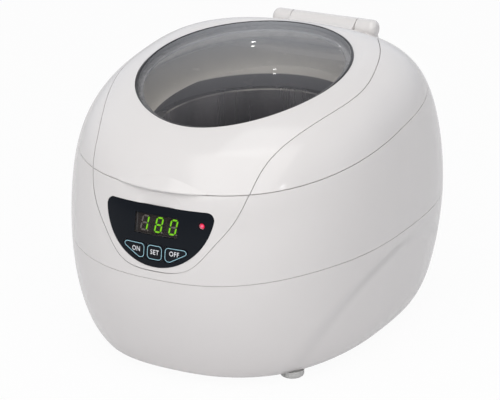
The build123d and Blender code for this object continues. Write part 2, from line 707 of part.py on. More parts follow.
def tact_switches():
    """Three small switches on the control board, one behind each key."""
    switches = []
    for name in key_outlines():
        x, z = key_centre(name)
        body = Pos(x, BOARD_FRONT_Y - SWITCH_BODY_DEPTH / 2, z) * Box(SWITCH_BODY, SWITCH_BODY_DEPTH, SWITCH_BODY)
        plunger = level(SWITCH_PLUNGER_RADIUS, SWITCH_PLUNGER_LENGTH, x, switch_front_y(), z)
        switches.append(body + plunger)
    return switches


# ================================================================ deck and tank
def deck_seat_z():
    """Height of the seat that the tank's gasket lies on."""
    return TANK_RIM_Z - TANK_RIM_HEIGHT - GASKET_HEIGHT


def deck_collar_bottom_z():
    """Height of the collar's flat underside, which the tank's clips press on."""
    return deck_seat_z() - DECK_COLLAR_DEPTH


def tank_deck():
    """Deck round the tank, with a raised collar and a seat for the tank's flange."""
    slab = BEHIND_SKIN & below_deck(0) - below_deck(DECK_THICKNESS)
    slab -= rear_plane_side(HINGE_RADIUS + LID_GAP - FIT, True)
    opening_width = TANK_HALF_WIDTH + TANK_FLANGE_WIDTH + TANK_FIT
    opening_length = TANK_HALF_LENGTH + TANK_FLANGE_WIDTH + TANK_FIT
    seat_z = deck_seat_z()
    collar_plan = (opening_width + DECK_COLLAR, opening_length + DECK_COLLAR, TANK_Y)
    low_collar = oval(*collar_plan, deck_collar_bottom_z(), TANK_RIM_Z - deck_collar_bottom_z())
    tall_collar = oval(*collar_plan, deck_collar_bottom_z(), BIG / 4) & below_deck(0)
    deck = slab - oval(*collar_plan, 0, deck_collar_bottom_z()) + [low_collar, tall_collar]
    well = oval(opening_width, opening_length, TANK_Y, seat_z, BIG / 4)
    return deck - [well, oval(TANK_HALF_WIDTH + TANK_FIT, TANK_HALF_LENGTH + TANK_FIT, TANK_Y, 0, BIG / 2)]


def tank_body(inset):
    """Solid of the tank's cup, set in by the inset."""
    floor_z = TANK_RIM_Z - TANK_DEPTH + inset
    cup = oval(TANK_HALF_WIDTH - inset, TANK_HALF_LENGTH - inset, TANK_Y, floor_z, TANK_RIM_Z - floor_z)
    return fillet(cup.edges().sort_by(Axis.Z)[0], TANK_FLOOR_RADIUS - inset)


def tank():
    """Drawn steel tank with a rolled rim."""
    outer_width = TANK_HALF_WIDTH + TANK_FLANGE_WIDTH
    outer_length = TANK_HALF_LENGTH + TANK_FLANGE_WIDTH
    rim = oval(outer_width, outer_length, TANK_Y, TANK_RIM_Z - TANK_RIM_HEIGHT, TANK_RIM_HEIGHT)
    rim = fillet(rim.edges().group_by(Axis.Z)[-1], TANK_RIM_ROUND)
    cavity = tank_body(TANK_WALL)
    above = oval(TANK_HALF_WIDTH - TANK_WALL, TANK_HALF_LENGTH - TANK_WALL, TANK_Y, TANK_RIM_Z - 1, 2)
    return rim + tank_body(0) - cavity - above


def tank_gasket():
    """Flat gasket between the tank's flange and the deck's seat."""
    inner_width = TANK_HALF_WIDTH + TANK_FIT
    inner_length = TANK_HALF_LENGTH + TANK_FIT
    ring = oval(inner_width + GASKET_WIDTH, inner_length + GASKET_WIDTH, TANK_Y, deck_seat_z(), GASKET_HEIGHT)
    return ring - oval(inner_width, inner_length, TANK_Y, deck_seat_z(), GASKET_HEIGHT)


def tank_clips():
    """Four angle clips that hold the tank to the underside of the deck."""
    clips = []
    for angle in CLIP_ANGLES:
        x = TANK_HALF_WIDTH * cos(radians(angle))
        y = TANK_HALF_LENGTH * sin(radians(angle))
        heading = degrees(atan2(y / TANK_HALF_LENGTH ** 2, x / TANK_HALF_WIDTH ** 2))
        arm = Box(CLIP_THICKNESS, CLIP_WIDTH, CLIP_DROP, align=(Align.MIN, Align.CENTER, Align.MAX))
        foot = Box(CLIP_FOOT, CLIP_WIDTH, CLIP_THICKNESS, align=(Align.MIN, Align.CENTER, Align.MAX))
        place = Pos(x, y + TANK_Y, deck_collar_bottom_z()) * Rot(0, 0, heading)
        clips.append(place * (arm + foot) - tank_body(0))
    return clips


# ================================================================ lid
def knuckle_clearance(start_x, end_x):
    """Space that the lid leaves round one fixed length of the hinge bar."""
    radius = HINGE_RADIUS + LID_GAP
    slot = Box(end_x - start_x, 2 * radius, BIG / 10, align=(Align.MIN, Align.CENTER, Align.MIN))
    plane = Plane(origin=(start_x, HINGE_Y, HINGE_Z), x_dir=(1, 0, 0), z_dir=REAR_NORMAL)
    return across(radius, start_x, end_x) + plane * slot


def barrel_blend():
    """Concave fillet between the lid's roof and the barrel of its hinge."""
    roof_y = HINGE_Y - 2 * HINGE_RADIUS
    centre_z = roof_z(OUTER, 0, roof_y) + BARREL_FILLET
    reach = HINGE_RADIUS + BARREL_FILLET
    centre_y = HINGE_Y - sqrt(reach ** 2 - (centre_z - HINGE_Z) ** 2)
    touch = HINGE_RADIUS / reach
    touch_y = HINGE_Y + (centre_y - HINGE_Y) * touch
    touch_z = HINGE_Z + (centre_z - HINGE_Z) * touch
    low_z = HINGE_Z - HINGE_RADIUS
    corners = (
        (centre_y, centre_z - BARREL_FILLET),
        (touch_y, touch_z),
        (HINGE_Y, HINGE_Z),
        (HINGE_Y, low_z),
        (centre_y, low_z),
    )
    profile = make_face(Polyline(*corners, close=True)) - Pos(centre_y, centre_z) * Circle(BARREL_FILLET)
    plane = Plane(origin=(-BARREL_HALF_LENGTH, 0, 0), x_dir=(0, 1, 0), z_dir=(1, 0, 0))
    return extrude(plane * profile, amount=2 * BARREL_HALF_LENGTH)


def lid_skin():
    """The whole outer skin of the lid before it is split into its three mouldings."""
    skin = (OUTER & lid_zone()) - INNER
    cuts = [oval(WINDOW_HALF_WIDTH, WINDOW_HALF_LENGTH, WINDOW_Y, GIRTH_Z, BIG / 4)]
    cuts += mirrored_pair(knuckle_clearance(BARREL_HALF_LENGTH, HINGE_HALF_LENGTH + KNUCKLE_GAP))
    skin = skin - cuts
    barrel = across(HINGE_RADIUS, -BARREL_HALF_LENGTH, BARREL_HALF_LENGTH)
    return skin + (barrel + (barrel_blend() - INNER)) - across(PIN_RADIUS + PIN_FIT, -BIG / 10, BIG / 10)


def lid_lip():
    """Flared lip that the finger lifts."""
    lip_z = LID_PARTING_Z + LID_PARTING_SLOPE * FACE_Y
    face = face_y(OUTER, 0, lip_z)
    ends = face_y(OUTER, LIP_HALF_WIDTH, lip_z)
    rise = LIP_REACH + ends - face
    radius = (LIP_HALF_WIDTH ** 2 + rise ** 2) / (2 * rise)
    centre_y = face - LIP_REACH + radius
    top_face = face_y(OUTER, 0, lip_z + LIP_HEIGHT)
    top_radius = centre_y - top_face
    corners = (
        (radius - 4 * WALL, lip_z),
        (radius - LIP_EDGE / 2, lip_z),
        (radius, lip_z + LIP_EDGE / 2),
        (radius, lip_z + LIP_EDGE),
        (top_radius, lip_z + LIP_HEIGHT),
        (radius - 4 * WALL, lip_z + LIP_HEIGHT),
    )
    profile = make_face(Polyline(*corners, close=True))
    plane = Plane(origin=(0, centre_y, 0), x_dir=(0, -1, 0), z_dir=(-1, 0, 0))
    turned = revolve(plane * profile, Axis((0, centre_y, 0), (0, 0, 1)), 360)
    return (turned & block((2 * LIP_HALF_WIDTH, BIG, BIG), 0, -BIG / 2, 0) & above_lid_parting()) - INNER


def lid_pieces():
    """The lid's centre piece and its two side cheeks."""
    skin = lid_skin()
    centre = skin & strip_prism(-SEAM_GAP / 2)
    centre = centre + lid_lip()
    cheeks = skin - strip_prism(SEAM_GAP / 2)
    left, right = cheeks.solids().sort_by(Axis.X)
    return {"lid_centre": centre, "lid_side_left": left, "lid_side_right": right}


def lid_liner():
    """Inner skin that backs the lid's seams and carries the window."""
    outside = BEHIND_SKIN & above_lid_parting(LINER_EDGE_RISE)
    outside &= rear_plane_side(HINGE_RADIUS - LINER_EDGE_RISE, False)
    width = WINDOW_HALF_WIDTH - LINER_LEDGE
    cuts = [body_form(WALL + FIT + LINER_THICKNESS), glazing_space()]
    cuts.append(oval(width, WINDOW_HALF_LENGTH - LINER_LEDGE, WINDOW_Y, GIRTH_Z, BIG / 4))
    cuts.append(across(HINGE_RADIUS + FIT, -BARREL_HALF_LENGTH - FIT, BARREL_HALF_LENGTH + FIT))
    cuts += mirrored_pair(knuckle_clearance(BARREL_HALF_LENGTH, HINGE_HALF_LENGTH + KNUCKLE_GAP))
    return outside - cuts


def glass_dome(drop=0.0):
    """Large ellipsoid whose top passes through the rim of the window, lowered by the drop."""
    front_z = roof_z(OUTER, 0, WINDOW_Y - WINDOW_HALF_LENGTH)
    rear_z = roof_z(OUTER, 0, WINDOW_Y + WINDOW_HALF_LENGTH)
    side_z = roof_z(OUTER, WINDOW_HALF_WIDTH, WINDOW_Y)
    crest_z = side_z + WINDOW_BULGE
    radius_across = WINDOW_HALF_WIDTH ** 2 / (2 * WINDOW_BULGE)
    radius_along = WINDOW_HALF_LENGTH ** 2 / (2 * (crest_z - (front_z + rear_z) / 2))
    depth = (radius_across + radius_along) / 2
    axes = (sqrt(depth * radius_across), sqrt(depth * radius_along), depth)
    slope = degrees(atan((rear_z - front_z) / (2 * WINDOW_HALF_LENGTH)))
    ball = Pos(0, 0, -depth) * scale(Sphere(1.0), by=axes)
    return Pos(0, WINDOW_Y, crest_z - drop) * Rot(slope, 0, 0) * ball


def glazing_space():
    """Space that the liner leaves for the glass and its seal."""
    column = oval(WINDOW_HALF_WIDTH, WINDOW_HALF_LENGTH, WINDOW_Y, GIRTH_Z, BIG / 4)
    return column - glass_dome(SEAL_SINK + SEAL_HEIGHT + GLAZING_GAP)


def lid_window():
    """Smoked glass of the lid."""
    border = SEAL_WIDTH + 2 * GLAZING_GAP
    column = oval(WINDOW_HALF_WIDTH - border, WINDOW_HALF_LENGTH - border, WINDOW_Y, GIRTH_Z, BIG / 4)
    return (column & glass_dome()) - glass_dome(WINDOW_THICKNESS)


def window_seal():
    """Black seal between the glass and the lid."""
    outside = oval(WINDOW_HALF_WIDTH - GLAZING_GAP, WINDOW_HALF_LENGTH - GLAZING_GAP, WINDOW_Y, GIRTH_Z, BIG / 4)
    border = SEAL_WIDTH + GLAZING_GAP
    inside = oval(WINDOW_HALF_WIDTH - border, WINDOW_HALF_LENGTH - border, WINDOW_Y, GIRTH_Z, BIG / 4)
    ring = outside - inside
    return (ring & glass_dome(SEAL_SINK)) - glass_dome(SEAL_SINK + SEAL_HEIGHT)


def hinge_pin():
    """Steel pin through the whole hinge bar."""
    half = HINGE_HALF_LENGTH - HINGE_CAP_LENGTH - CAP_PLUG_LENGTH
    return across(PIN_RADIUS, -half, half)


def hinge_cap():
    """Rounded end cap of the hinge bar, on the right."""
    start_x = HINGE_HALF_LENGTH - HINGE_CAP_LENGTH
    cap = across(HINGE_RADIUS, start_x, HINGE_HALF_LENGTH)
    cap = fillet(cap.edges().group_by(Axis.X)[-1], HINGE_CAP_ROUND)
    return cap + across(CAP_PLUG_RADIUS, start_x - CAP_PLUG_LENGTH, start_x)


# ================================================================ transducer
def tank_underside_z():
    """Height of the tank's underside."""
    return TANK_RIM_Z - TANK_DEPTH


def ceramic_stack_top():
    """Height of the face between the front mass and the first electrode."""
    return tank_underside_z() - FRONT_MASS_HEIGHT


def ceramic_step():
    """Height of one electrode and one ceramic ring together."""
    return ELECTRODE_THICKNESS + CERAMIC_THICKNESS


def back_mass_top():
    """Height of the face under the last electrode."""
    return ceramic_stack_top() - 2 * ceramic_step() - ELECTRODE_THICKNESS


def transducer_front_mass():
    """Aluminium horn bonded to the tank, tapped for the bolt."""
    cone = Cone(FRONT_MASS_WAIST, FRONT_MASS_RADIUS, FRONT_MASS_HEIGHT, align=(Align.CENTER, Align.CENTER, Align.MIN))
    horn = Pos(0, TANK_Y, ceramic_stack_top()) * cone
    return horn - upright(BOLT_RADIUS, BOLT_ENGAGEMENT, 0, TANK_Y, ceramic_stack_top())


def ring(outer, inner, height, z):
    """Flat ring on the transducer's axis."""
    return upright(outer, height, 0, TANK_Y, z) - upright(inner, height, 0, TANK_Y, z)


def piezo_rings():
    """Two ceramic rings."""
    top = ceramic_stack_top()
    return [ring(CERAMIC_RADIUS, CERAMIC_BORE, CERAMIC_THICKNESS, top - step * ceramic_step()) for step in (1, 2)]


def electrode_levels():
    """Height of the underside of each electrode, from the top down."""
    top = ceramic_stack_top() - ELECTRODE_THICKNESS
    return [top - step * ceramic_step() for step in range(3)]


def electrode_tab_end():
    """Depth of the free end of the electrodes' tabs."""
    return TANK_Y + CERAMIC_RADIUS + ELECTRODE_TAB


def electrode_rings():
    """Three thin electrodes with tabs for the leads."""
    electrodes = []
    for index, z in enumerate(electrode_levels()):
        x = TRANSDUCER_LEAD_X[index % 2]
        length = CERAMIC_RADIUS - CERAMIC_BORE + ELECTRODE_TAB
        tab = block((2 * LEAD_RADIUS, length, ELECTRODE_THICKNESS), x, electrode_tab_end() - length / 2, z)
        electrodes.append(ring(CERAMIC_RADIUS, CERAMIC_BORE, ELECTRODE_THICKNESS, z) + tab)
    return electrodes


def transducer_back_mass():
    """Steel back mass."""
    return ring(BACK_MASS_RADIUS, BOLT_RADIUS, BACK_MASS_HEIGHT, back_mass_top() - BACK_MASS_HEIGHT)


def transducer_bolt():
    """Bolt that clamps the stack."""
    seat = back_mass_top() - BACK_MASS_HEIGHT
    length = ceramic_stack_top() + BOLT_ENGAGEMENT - seat
    head = Pos(0, TANK_Y, seat - BOLT_HEAD_HEIGHT) * extrude(RegularPolygon(BOLT_HEAD_RADIUS, 6), BOLT_HEAD_HEIGHT)
    return upright(BOLT_RADIUS, length, 0, TANK_Y, seat) + head


# ================================================================ main board
def main_board_bottom():
    """Height of the underside of the main board."""
    return BASE_FLOOR_Z + MAIN_BOARD_STANDOFF


def main_board_top():
    """Height of the face that carries the components."""
    return main_board_bottom() + BOARD_THICKNESS


def main_board():
    """Driver board in the rear of the base."""
    size = (2 * MAIN_BOARD_HALF_WIDTH, 2 * MAIN_BOARD_HALF_LENGTH, BOARD_THICKNESS)
    board = block(size, 0, MAIN_BOARD_Y, main_board_bottom())
    for x, y in main_board_holes():
        board -= upright(BOARD_SCREW_RADIUS + SCREW_FIT, BIG, x, y, 0)
    return board


def main_board_screws():
    """Four screws that hold the main board down."""
    screws = []
    for x, y in main_board_holes():
        shank = upright(BOARD_SCREW_RADIUS, BOARD_SCREW_LENGTH, x, y, main_board_top() - BOARD_SCREW_LENGTH)
        screws.append(shank + upright(BOARD_SCREW_HEAD_RADIUS, BOARD_SCREW_HEAD_HEIGHT, x, y, main_board_top()))
    return screws


def transformer_core():
    """Laminated core, with a window for the coil."""
    core = block(TRANSFORMER_CORE, TRANSFORMER_X, COMPONENT_Y, main_board_top())
    return core - transformer_coil()


def transformer_coil():
    """Wound coil through the core."""
    lift = (TRANSFORMER_CORE[2] - TRANSFORMER_COIL[2]) / 2
    return block(TRANSFORMER_COIL, TRANSFORMER_X, COMPONENT_Y, main_board_top() + lift)


def heat_sink():
    """Finned heat sink, its fins parallel to the depth of the board."""
    span = (HEAT_SINK_FINS - 1) * HEAT_SINK_PITCH + HEAT_SINK_FIN
    sink = block((span, HEAT_SINK_LENGTH, HEAT_SINK_FIN), HEAT_SINK_X, COMPONENT_Y, main_board_top())
    for fin in range(HEAT_SINK_FINS):
        x = HEAT_SINK_X + (fin - (HEAT_SINK_FINS - 1) / 2) * HEAT_SINK_PITCH
        sink += block((HEAT_SINK_FIN, HEAT_SINK_LENGTH, HEAT_SINK_HEIGHT), x, COMPONENT_Y, main_board_top())
    return sink


def power_transistors():
    """Two transistors clamped to the outer fin of the heat sink."""
    depth, thickness, height = TRANSISTOR_SIZE
    span = (HEAT_SINK_FINS - 1) * HEAT_SINK_PITCH + HEAT_SINK_FIN
    x = HEAT_SINK_X + (span + thickness) / 2
    places = (COMPONENT_Y - TRANSISTOR_SPACING / 2, COMPONENT_Y + TRANSISTOR_SPACING / 2)
    return [block((thickness, depth, height), x, y, main_board_top()) for y in places]


def capacitors():
    """Row of three electrolytic capacitors."""
    rows = [COMPONENT_Y + step * CAPACITOR_PITCH for step in (-1, 0, 1)]
    cans = [upright(CAPACITOR_RADIUS, CAPACITOR_HEIGHT, CAPACITOR_X, y, main_board_top()) for y in rows]
    return [fillet(can.edges().sort_by(Axis.Z)[-1], CAPACITOR_RADIUS / 5) for can in cans]


def fuse():
    """Fuse that lies across the board in front of the transformer."""
    tube = Cylinder(FUSE_RADIUS, FUSE_LENGTH, rotation=(0, 90, 0))
    y = MAIN_BOARD_Y - MAIN_BOARD_HALF_LENGTH + FUSE_FROM_EDGE
    return Pos(TRANSFORMER_X, y, main_board_top() + FUSE_RADIUS) * tube


def ribbon_connector():
    """Socket at the front edge of the main board that takes the ribbon."""
    front_y = MAIN_BOARD_Y - MAIN_BOARD_HALF_LENGTH
    return block(CONNECTOR_SIZE, RIBBON_X, front_y + CONNECTOR_SIZE[1] / 2, main_board_top())


# ================================================================ inlet
def power_inlet():
    """Two-pole mains inlet in the rear of the base."""
    face_y_rear = inlet_face_y()
    body = Pos(0, face_y_rear - INLET_DEPTH / 2, INLET_Z) * Box(INLET_WIDTH, INLET_DEPTH, INLET_HEIGHT)
    border = 2 * INLET_FLANGE_BORDER
    flange = Box(INLET_WIDTH + border, INLET_FLANGE + 2 * WALL, INLET_HEIGHT + border)
    flange = (Pos(0, face_y_rear - WALL - INLET_FLANGE / 2, INLET_Z) * flange) & BEHIND_SKIN
    socket_sketch = RectangleRounded(INLET_SOCKET_WIDTH, INLET_SOCKET_HEIGHT, INLET_SOCKET_HEIGHT / 2.1)
    socket = Pos(0, 0, INLET_Z) * front_prism(socket_sketch, BIG / 2, face_y_rear - INLET_SOCKET_DEPTH)
    inlet = body + flange - socket
    for x in (-INLET_PIN_PITCH / 2, INLET_PIN_PITCH / 2):
        inlet -= level(INLET_PIN_RADIUS, INLET_DEPTH, x, face_y_rear - INLET_DEPTH, INLET_Z)
    return inlet


def inlet_pins():
    """The inlet's two pins, with solder tags at the rear of the inlet."""
    start_y = inlet_face_y() - INLET_DEPTH - INLET_TAG_LENGTH
    length = INLET_TAG_LENGTH + INLET_DEPTH - INLET_SOCKET_DEPTH + INLET_PIN_LENGTH
    pins = [level(INLET_PIN_RADIUS, length, side * INLET_PIN_PITCH / 2, start_y, INLET_Z) for side in (-1, 1)]
    return [fillet(pin.edges().sort_by(Axis.Y)[-1], INLET_PIN_RADIUS / 2) for pin in pins]


# ================================================================ feet, screws and leads
def foot(name):
    """Rubber foot with a barbed stem through the base."""
    x, y = feet_places()[name]
    pad = upright(FOOT_RADIUS, FLOOR_Z, x, y, 0)
    pad = fillet(pad.edges().sort_by(Axis.Z)[0], FOOT_ROUND)
    stem = upright(FOOT_STEM_RADIUS, WALL, x, y, FLOOR_Z)
    return pad + stem + upright(FOOT_BARB_RADIUS, FOOT_BARB_HEIGHT, x, y, BASE_FLOOR_Z)


def housing_screws():
    """Four long screws, from under the base into the upper posts."""
    screws = []
    seat = FLOOR_Z + HOUSING_SCREW_SEAT
    for x, y in housing_posts():
        length = SHELL_PARTING_Z + SHELL_GAP + HOUSING_SCREW_GRIP - seat
        shank = upright(HOUSING_SCREW_RADIUS, length, x, y, seat)
        head_z = seat - HOUSING_SCREW_HEAD_HEIGHT
        screws.append(shank + upright(HOUSING_SCREW_HEAD_RADIUS, HOUSING_SCREW_HEAD_HEIGHT, x, y, head_z))
    return screws


def lead(points):
    """Round lead along a path with one bend radius."""
    path = FilletPolyline(*points, radius=LEAD_BEND)
    return sweep(Plane(path @ 0, z_dir=path % 0) * Circle(LEAD_RADIUS), path=path)


def mains_leads():
    """Two leads from the inlet's tags down to the main board."""
    start_y = inlet_face_y() - INLET_DEPTH - INLET_TAG_LENGTH
    leads = []
    for x in (-INLET_PIN_PITCH / 2, INLET_PIN_PITCH / 2):
        points = ((x, start_y, INLET_Z), (x, MAINS_LEAD_DROP_Y, INLET_Z), (x, MAINS_LEAD_DROP_Y, main_board_top()))
        leads.append(lead(points))
    return leads


def transducer_leads():
    """Two leads from the electrodes to the main board."""
    board_y = MAIN_BOARD_Y - MAIN_BOARD_HALF_LENGTH + CONNECTOR_SIZE[1]
    leads = []
    for x, z in zip(TRANSDUCER_LEAD_X, electrode_levels()):
        level_z = z + ELECTRODE_THICKNESS / 2
        points = ((x, electrode_tab_end(), level_z), (x, board_y, level_z), (x, board_y, main_board_top()))
        leads.append(lead(points))
    return leads


def control_ribbon():
    """Flat cable from the control board, under the tank, to its socket on the main board."""
    start_y = BOARD_FRONT_Y + BOARD_THICKNESS + RIBBON_THICKNESS / 2
    low_z = BASE_FLOOR_Z + RIBBON_FLOOR_CLEARANCE
    socket_y = MAIN_BOARD_Y - MAIN_BOARD_HALF_LENGTH
    socket_z = main_board_top() + CONNECTOR_SIZE[2] / 2
    corners = (
        (RIBBON_X, start_y, CONTROL_BOARD_BOTTOM_Z + RIBBON_WIDTH / 2),
        (RIBBON_X, start_y, RIBBON_SLANT_TOP_Z),
        (RIBBON_X, start_y + RIBBON_SLANT_REACH, low_z),
        (RIBBON_X, socket_y - RIBBON_RISE_BEFORE_BOARD, low_z),
        (RIBBON_X, socket_y - RIBBON_RISE_BEFORE_BOARD, socket_z),
        (RIBBON_X, socket_y, socket_z),
    )
    path = FilletPolyline(*corners, radius=RIBBON_BEND)
    section = Plane(path @ 0, x_dir=(1, 0, 0), z_dir=path % 0) * Rectangle(RIBBON_WIDTH, RIBBON_THICKNESS)
    return sweep(section, path=path)


def sub_parts():
    """Every piece of the product, by name."""
    parts = {
        "base_shell": base_shell(),
        "upper_shell": upper_shell(),
        "front_fascia": front_fascia(),
        "control_overlay": control_overlay(),
        "display_lens": display_lens(),
        "control_board": control_board(),
        "control_screws": control_screws(),
        "led_display": led_display(),
        "status_led": status_led(),
        "tact_switches": tact_switches(),
        "tank_deck": tank_deck(),
        "tank": tank(),
        "tank_gasket": tank_gasket(),
        "tank_clips": tank_clips(),
        "lid_liner": lid_liner(),
        "lid_window": lid_window(),
        "window_seal": window_seal(),
        "hinge_pin": hinge_pin(),
        "transducer_front_mass": transducer_front_mass(),
        "piezo_rings": piezo_rings(),
        "electrode_rings": electrode_rings(),
        "transducer_back_mass": transducer_back_mass(),
        "transducer_bolt": transducer_bolt(),
        "main_board": main_board(),
        "main_board_screws": main_board_screws(),
        "transformer_core": transformer_core(),
        "transformer_coil": transformer_coil(),
        "heat_sink": heat_sink(),
        "power_transistors": power_transistors(),
        "capacitors": capacitors(),
        "fuse": fuse(),
        "ribbon_connector": ribbon_connector(),
        "power_inlet": power_inlet(),
        "inlet_pins": inlet_pins(),
        "housing_screws": housing_screws(),
        "mains_leads": mains_leads(),
        "transducer_leads": transducer_leads(),
        "control_ribbon": control_ribbon(),
    }
    parts.update(lid_pieces())
    for name in key_outlines():
        parts[name] = key(name)
    for name in feet_places():
        parts[name] = foot(name)
    right_cap = hinge_cap()
    parts["hinge_cap_right"] = right_cap
    parts["hinge_cap_left"] = mirror(right_cap, about=Plane.YZ)
    return parts


def write_step(name, shape):
    """Write one piece, or a group of like pieces, to its STEP file."""
    pieces = shape if isinstance(shape, list) else [shape]
    solids = [solid for piece in pieces for solid in piece.solids()]
    export_step(solids[0] if len(solids) == 1 else Compound(solids), f"parts/{name}.step")


def main():
    """Build and write every piece; faces are left as the cuts make them, which keeps the skins exact."""
    os.makedirs("parts", exist_ok=True)
    with SkipClean():
        for name, shape in sub_parts().items():
            write_step(name, shape)


main()
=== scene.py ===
"""Looks of the contact lens cleaner, in metres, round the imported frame."""
import json
import math

import bmesh
import bpy
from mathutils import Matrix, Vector
from mathutils.bvhtree import BVHTree


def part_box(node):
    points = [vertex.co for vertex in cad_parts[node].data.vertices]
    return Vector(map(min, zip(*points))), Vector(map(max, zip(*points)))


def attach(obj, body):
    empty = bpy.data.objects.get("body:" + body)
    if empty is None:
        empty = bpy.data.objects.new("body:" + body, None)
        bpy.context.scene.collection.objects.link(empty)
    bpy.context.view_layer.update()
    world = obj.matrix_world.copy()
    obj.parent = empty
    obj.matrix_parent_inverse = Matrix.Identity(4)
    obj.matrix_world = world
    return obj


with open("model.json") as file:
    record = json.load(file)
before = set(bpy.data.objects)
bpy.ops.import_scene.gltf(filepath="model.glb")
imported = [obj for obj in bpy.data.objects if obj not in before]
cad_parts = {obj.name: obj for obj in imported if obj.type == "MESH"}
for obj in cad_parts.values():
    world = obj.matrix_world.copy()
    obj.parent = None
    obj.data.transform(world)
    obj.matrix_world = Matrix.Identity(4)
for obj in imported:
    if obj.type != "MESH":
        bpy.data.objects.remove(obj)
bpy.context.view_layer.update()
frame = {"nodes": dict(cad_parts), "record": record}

MM = 0.001

# ---------------------------------------- camera
CAMERA_PLACE = (0.5412, -1.0325, 0.4810)
CAMERA_HEADING = (-0.4425, 0.8323, -0.3338)
CAMERA_LENS = 158.4
SENSOR_WIDTH = 36.0

# ---------------------------------------- display, in millimetres
FRONT_Y = -120.0
DISPLAY_HALF_WIDTH = 12.6
DISPLAY_BOTTOM_Z = 85.8
DISPLAY_TOP_Z = 96.2
LENS_THICKNESS = 0.8
FACE_GAP = 0.2               # from the lens to the display's face
FACE_MARGIN = 0.1
FACE_COLUMNS = 12
FACE_ROWS = 6
DIGIT_HEIGHT = 8.3
DIGIT_WIDTH = 4.3
DIGIT_PITCH = 8.4
DIGIT_CENTRE_X = 1.2
DIGIT_CENTRE_Z = 91.2
DIGIT_SLANT = 0.17           # sideways shift per height
SEGMENT_WIDTH = 0.84
SEGMENT_SPACE = 0.28
SEGMENT_RISE = 0.08
SHOWN_BARS = ("bc", "abcdefg", "abcdef")    # lit bars of the digits 1, 8 and 0
POINT_RADIUS = 0.42
POINT_SIDES = 10
POINT_AFTER_DIGIT = 0.55
POINT_LIFT = 0.35
EDGE_LINE_INSET = 0.75       # pale line at the left of the display
EDGE_LINE_HALF_WIDTH = 0.14
EDGE_LINE_MARGIN = 0.5

# ---------------------------------------- prints on the keys, in millimetres
KEY_TOP_Z = 80.9
KEY_BOTTOM_Z = 72.7
KEY_CORNER = 2.4
SET_HALF_WIDTH = 4.7
SIDE_KEY_INNER = 5.8
SIDE_KEY_OUTER = 18.9
SIDE_KEY_FOOT = 9.4
SIDE_KEY_SHOULDER_Z = 78.0
OUTLINE_INSET = 0.35
OUTLINE_WIDTH = 0.34
OUTLINE_STEP = 0.8
PRINT_RISE = 0.02
PRINT_DEPTH = 0.06
LETTER_HEIGHT = 2.5
LETTER_SIZE = 1.42           # size of the typeface for capitals of height 1
LETTER_SLIMNESS = 0.86
LETTER_SPACING = 1.12
LETTER_BOLDNESS = 0.05
LETTER_EDGE = 0.9            # longer edges are divided, so that they follow the key
LETTERS = {                  # word, and the middle of it
    "key_on": ("ON", -11.1, 77.3),
    "key_set": ("SET", 0.1, 77.0),
    "key_off": ("OFF", 11.5, 77.7),
}

# ---------------------------------------- bead round the window, in millimetres
BEAD_WIDTH = 1.1
BEAD_RISE = 0.35
BEAD_SHOULDER = 0.6          # share of the rise at the bead's edges
BEAD_CROWN = 0.25            # share of the width where the rise is full
BEAD_SINK = 0.2
BEAD_REACH = 1.6             # how far inside the bead the glass is felt
BEAD_STEPS = 160

# ---------------------------------------- crease in the base's sides, in millimetres
CREASE_HALF_DEPTH = 83.0
CREASE_BASE_Z = 10.0
CREASE_HEIGHT = 52.0
CREASE_TUCK = 2.2
CREASE_SOFTNESS = 0.15       # share of the arch's size

# ---------------------------------------- painted shade and a painted highlight on inner surfaces, in millimetres
SHADE_RING_START = (0.895, 0.905)    # painted shade in a grey ring round the window, on the ledge under the glass; shares of the seal's oval
SHADE_RING_END = (1.04, 1.06)
DECK_WALL_END = (1.012, 1.02)    # painted shade on the deck's wall round the tank; shares of the tank's oval
DECK_WALL_TOP_Z = 126.5
DECK_WALL_SOFTNESS = 0.4
# painted shade: a soft dark band on the inside of the rear wall, under the lid
BAND_Z = 124.0
BAND_SLOPE = 0.205
BAND_HALF_HEIGHT = 3.0
BAND_REAR_Y = 77.2
BAND_FRONT_Y = 69.2
BAND_HALF_WIDTH = 52.0
BAND_SOFTNESS = 0.5
TANK_TOP_Z = 119.5
TANK_EDGE_DEPTH = 0.75       # from the top of the wall to the middle of its painted highlight
TANK_EDGE_HALF_HEIGHT = 0.65
TANK_EDGE_END = (0.94, 0.95)     # shares of the tank's oval
TANK_PAINTED_SHADE = 0.75            # share of the painted shade, low down
TANK_PAINTED_SHADE_DEPTHS = (24.0, 4.0)
TANK_EDGE_HIGHLIGHT = (0.3, 1.0)  # how bright the painted highlight on the edge is, least and most
# painted shade on the tank's flange, just below its top
TANK_FLANGE_DEPTHS = (0.1, 0.05)
TANK_STREAKS = 0.16            # strength of the pale streaks down the wall, painted reflections
TANK_METALLIC = (0.9, 0.1)   # of clean steel, and where the painted highlight and streaks lower it most

# ---------------------------------------- window pane
PANE_TINT = (0.85, 0.84, 0.825, 1.0)
PANE_ROUGHNESS = 0.025
PANE_ROUGHNESS_SPREAD = 0.012
PANE_MIRROR = (0.035, 0.95)  # share mirrored face on, and at a flat angle
PANE_MIRROR_POWER = 5.0
PANE_MOTTLE = 0.03

# ---------------------------------------- status light, in metres
STATUS_CORE = 0.0001
STATUS_RIM = 0.0012

